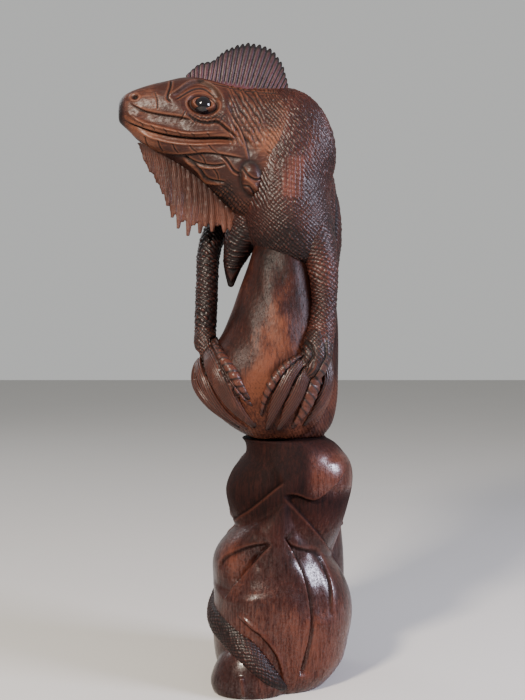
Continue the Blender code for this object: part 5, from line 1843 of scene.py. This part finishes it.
@dataclass
class Studio:
    """Pale floor, soft lights and the camera."""

    floor_half: float = 3.0
    floor_colour: Row = (0.46, 0.45, 0.435)
    sky: Row = (0.71, 0.715, 0.705)
    sky_strength: float = 0.75
    aim: Row = (0.0, 0.0, 0.2)
    camera_place: Row = (-0.0117, -0.673, 0.228)
    lens: float = 54.7
    shift: float = -36.0 / 700.0

    def build(self) -> None:
        """Sets up everything that isn't the object."""
        self.floor()
        self.world()
        self.lamp("key", (-0.48, -0.84, 0.76), 0.15, 30.0, (1.0, 0.88, 0.74))
        self.lamp("window", (0.85, -0.34, 0.5), 0.28, 19.0, (0.80, 0.80, 1.0))
        self.lamp("fill", (-0.9, 0.8, 0.9), 0.6, 4.0, (0.95, 0.97, 1.0))
        self.camera()

    def floor(self) -> None:
        """A plain pale floor."""
        half = self.floor_half
        corners = [(-half, -half, 0.0), (half, -half, 0.0), (half, half, 0.0), (-half, half, 0.0)]
        mesh = bpy.data.meshes.new("floor")
        mesh.from_pydata(corners, [], [(0, 1, 2, 3)])
        g = Graph("pale_floor")
        cloud = g.noise(g.place(), 6.0, 2.0)
        shade = tuple(0.97 * c for c in self.floor_colour)
        mesh.materials.append(g.finish(Base_Color=g.mix(cloud, shade, self.floor_colour), Roughness=0.8))
        obj = bpy.data.objects.new("floor", mesh)
        bpy.context.scene.collection.objects.link(obj)

    def world(self) -> None:
        """A plain pale surround."""
        world = bpy.data.worlds.new("surround")
        world.use_nodes = True
        shade = world.node_tree.nodes["Background"]
        shade.inputs["Color"].default_value = (*self.sky, 1.0)
        shade.inputs["Strength"].default_value = self.sky_strength
        bpy.context.scene.world = world

    def lamp(self, name: str, place: Row, size: float, power: float, colour: Row) -> None:
        """Hangs a soft square lamp, turned to the carving.

        Args:
            name: Its name.
            place: Where it hangs.
            size: Its width.
            power: Its power in watts.
            colour: Its colour.
        """
        data = bpy.data.lights.new(name, "AREA")
        data.shape = "SQUARE"
        data.size = size
        data.energy = power
        data.color = colour
        obj = bpy.data.objects.new(name, data)
        obj.location = place
        way = Vector(self.aim) - Vector(place)
        obj.rotation_euler = way.to_track_quat("-Z", "Y").to_euler()
        bpy.context.scene.collection.objects.link(obj)

    def camera(self) -> None:
        """A level camera in front of the carving."""
        data = bpy.data.cameras.new("camera")
        data.lens = self.lens
        data.sensor_width = 36.0
        data.shift_y = self.shift
        obj = bpy.data.objects.new("camera", data)
        obj.location = self.camera_place
        obj.rotation_euler = (math.pi / 2.0, 0.0, 0.0)
        bpy.context.scene.collection.objects.link(obj)
        bpy.context.scene.camera = obj


# ------------------------------------------------------------------------------
# The limbs' lines
# ------------------------------------------------------------------------------


RIGHT_ARM = (
    (0.0, 20.0, 297.0, 11.5),
    (-16.0, 24.5, 294.0, 10.4),
    (-31.0, 22.0, 288.5, 9.2),
    (-41.5, 15.5, 281.0, 8.2),
    (-46.3, 9.0, 268.0, 7.5),
    (-47.2, 3.5, 250.0, 7.1),
    (-47.5, -1.5, 232.0, 7.1),
    (-48.1, -6.0, 214.0, 6.8),
)
LEFT_ARM = (
    (13.0, -9.0, 290.0, 14.0),
    (20.5, -13.0, 273.0, 13.0),
    (25.6, -16.5, 256.0, 9.8),
    (26.4, -19.0, 239.0, 8.0),
    (25.2, -23.0, 224.0, 8.2),
    (22.5, -28.5, 210.0, 9.0),
)
LEFT_THIGH = (
    (4.0, 49.0, 140.0, 12.0),
    (17.0, 50.0, 142.0, 10.6),
    (27.0, 45.5, 137.0, 8.6),
    (31.5, 39.5, 125.0, 7.2),
    (32.5, 37.0, 113.0, 6.4),
)
RIGHT_THIGH = (
    (-6.0, 49.0, 130.0, 12.0),
    (-17.0, 49.0, 126.0, 10.4),
    (-25.0, 43.5, 117.0, 8.2),
    (-27.0, 38.0, 106.0, 7.0),
    (-27.5, 35.0, 97.0, 6.4),
)
RIGHT_SCALES = Scales(3.2, 0.85, slant=0.25, seed=1.0)
LEFT_SCALES = Scales(2.9, 0.85, slant=0.25, seed=2.0)
# Each finger: its line from knuckle to claw, its half width, its height, and whether it is ringed.
RIGHT_FINGERS = (
    (
        ((-51.0, 209.0), (-54.5, 200.0), (-53.5, 189.5), (-48.5, 179.0), (-39.5, 168.5), (-27.0, 159.0)),
        4.2, 3.6, False,
    ),
    (
        ((-49.0, 209.0), (-50.0, 199.0), (-47.0, 189.0), (-42.0, 178.5), (-33.5, 167.5), (-22.0, 158.5)),
        4.2, 3.8, False,
    ),
    (
        ((-45.5, 209.0), (-42.5, 200.0), (-38.0, 190.0), (-32.5, 180.0), (-25.5, 169.5), (-17.0, 160.5)),
        6.4, 3.9, False,
    ),
    (((-41.0, 210.0), (-36.0, 201.5), (-30.0, 193.5), (-25.5, 186.5), (-20.0, 177.5)), 3.4, 3.6, True),
    (((-43.5, 208.0), (-36.0, 196.5), (-30.0, 187.5), (-24.5, 180.5), (-18.5, 173.5)), 3.0, 3.8, True),
)
LEFT_FINGERS = (
    (
        ((12.5, 202.5), (5.1, 199.0), (-1.0, 193.0), (-6.6, 186.0), (-10.4, 178.0), (-12.5, 168.0)),
        3.2, 3.4, True,
    ),
    (((14.0, 201.0), (5.5, 192.5), (-0.5, 182.0), (-5.0, 171.0), (-8.5, 159.0)), 4.8, 3.6, False),
    (((17.0, 201.0), (12.5, 191.5), (8.0, 180.5), (3.5, 170.0), (-1.5, 158.5)), 5.2, 3.8, False),
    (((21.5, 201.0), (20.0, 191.5), (17.0, 181.0), (13.0, 170.5), (7.0, 159.5)), 5.0, 3.8, True),
    (((26.5, 201.5), (27.5, 192.0), (25.5, 181.5), (21.0, 171.0), (14.5, 160.5)), 5.0, 3.6, False),
)
LEFT_HIND_TOES = (
    ((47.0, 112.0), (40.0, 103.0), (36.0, 90.0)),
    ((49.0, 111.0), (47.0, 98.0), (45.0, 84.0)),
    ((51.0, 111.0), (55.0, 99.0), (56.0, 85.0)),
    ((53.0, 112.0), (62.0, 103.0), (67.0, 92.0)),
)
RIGHT_HIND_TOES = (
    ((126.0, 97.0), (121.0, 91.0), (117.0, 84.0)),
    ((129.0, 96.0), (130.0, 87.0), (131.0, 80.0)),
    ((132.0, 96.0), (139.0, 87.0), (142.0, 77.0)),
    ((135.0, 97.0), (147.0, 90.0), (152.0, 81.0)),
)


def main() -> None:
    """Builds the studio and the carving, from the foot up."""
    logging.basicConfig(level=logging.INFO, format="%(name)s %(message)s")
    Studio().build()
    template = Template()
    plinth, perch = Plinth(template), Perch(template)
    plinth_block, perch_block = plinth.rough(), perch.rough()
    plinth_tree, perch_tree = plinth_block.tree(), perch_block.tree()
    plinth.carve(plinth_block)
    perch.carve(perch_block)
    torso = Torso(template)
    torso.build()
    Head(template, torso).build()
    Eyes().build()
    Crest(template).build()
    Dewlap(template).build()
    Foreleg(template, "right_foreleg_carved", "right_foreleg", RIGHT_ARM, RIGHT_SCALES, -0.55).build()
    Foreleg(template, "left_foreleg_carved", "left_foreleg", LEFT_ARM, LEFT_SCALES, 0.05).build()
    Forefoot(template, "right_hand", "right_forefoot", RIGHT_ARM[-1], RIGHT_FINGERS, 1.0).build(perch_tree)
    Forefoot(template, "left_hand", "left_forefoot", LEFT_ARM[-1], LEFT_FINGERS, 2.0).build(perch_tree)
    for side, thigh, toes in (("left", LEFT_THIGH, LEFT_HIND_TOES), ("right", RIGHT_THIGH, RIGHT_HIND_TOES)):
        Hindleg(template, side + "_hindleg_carved", side + "_hindleg", thigh, toes).build(plinth_tree)
    Tail(template).build(plinth_tree)
    Pegs().dress()


if __name__ == "__main__":
    main()
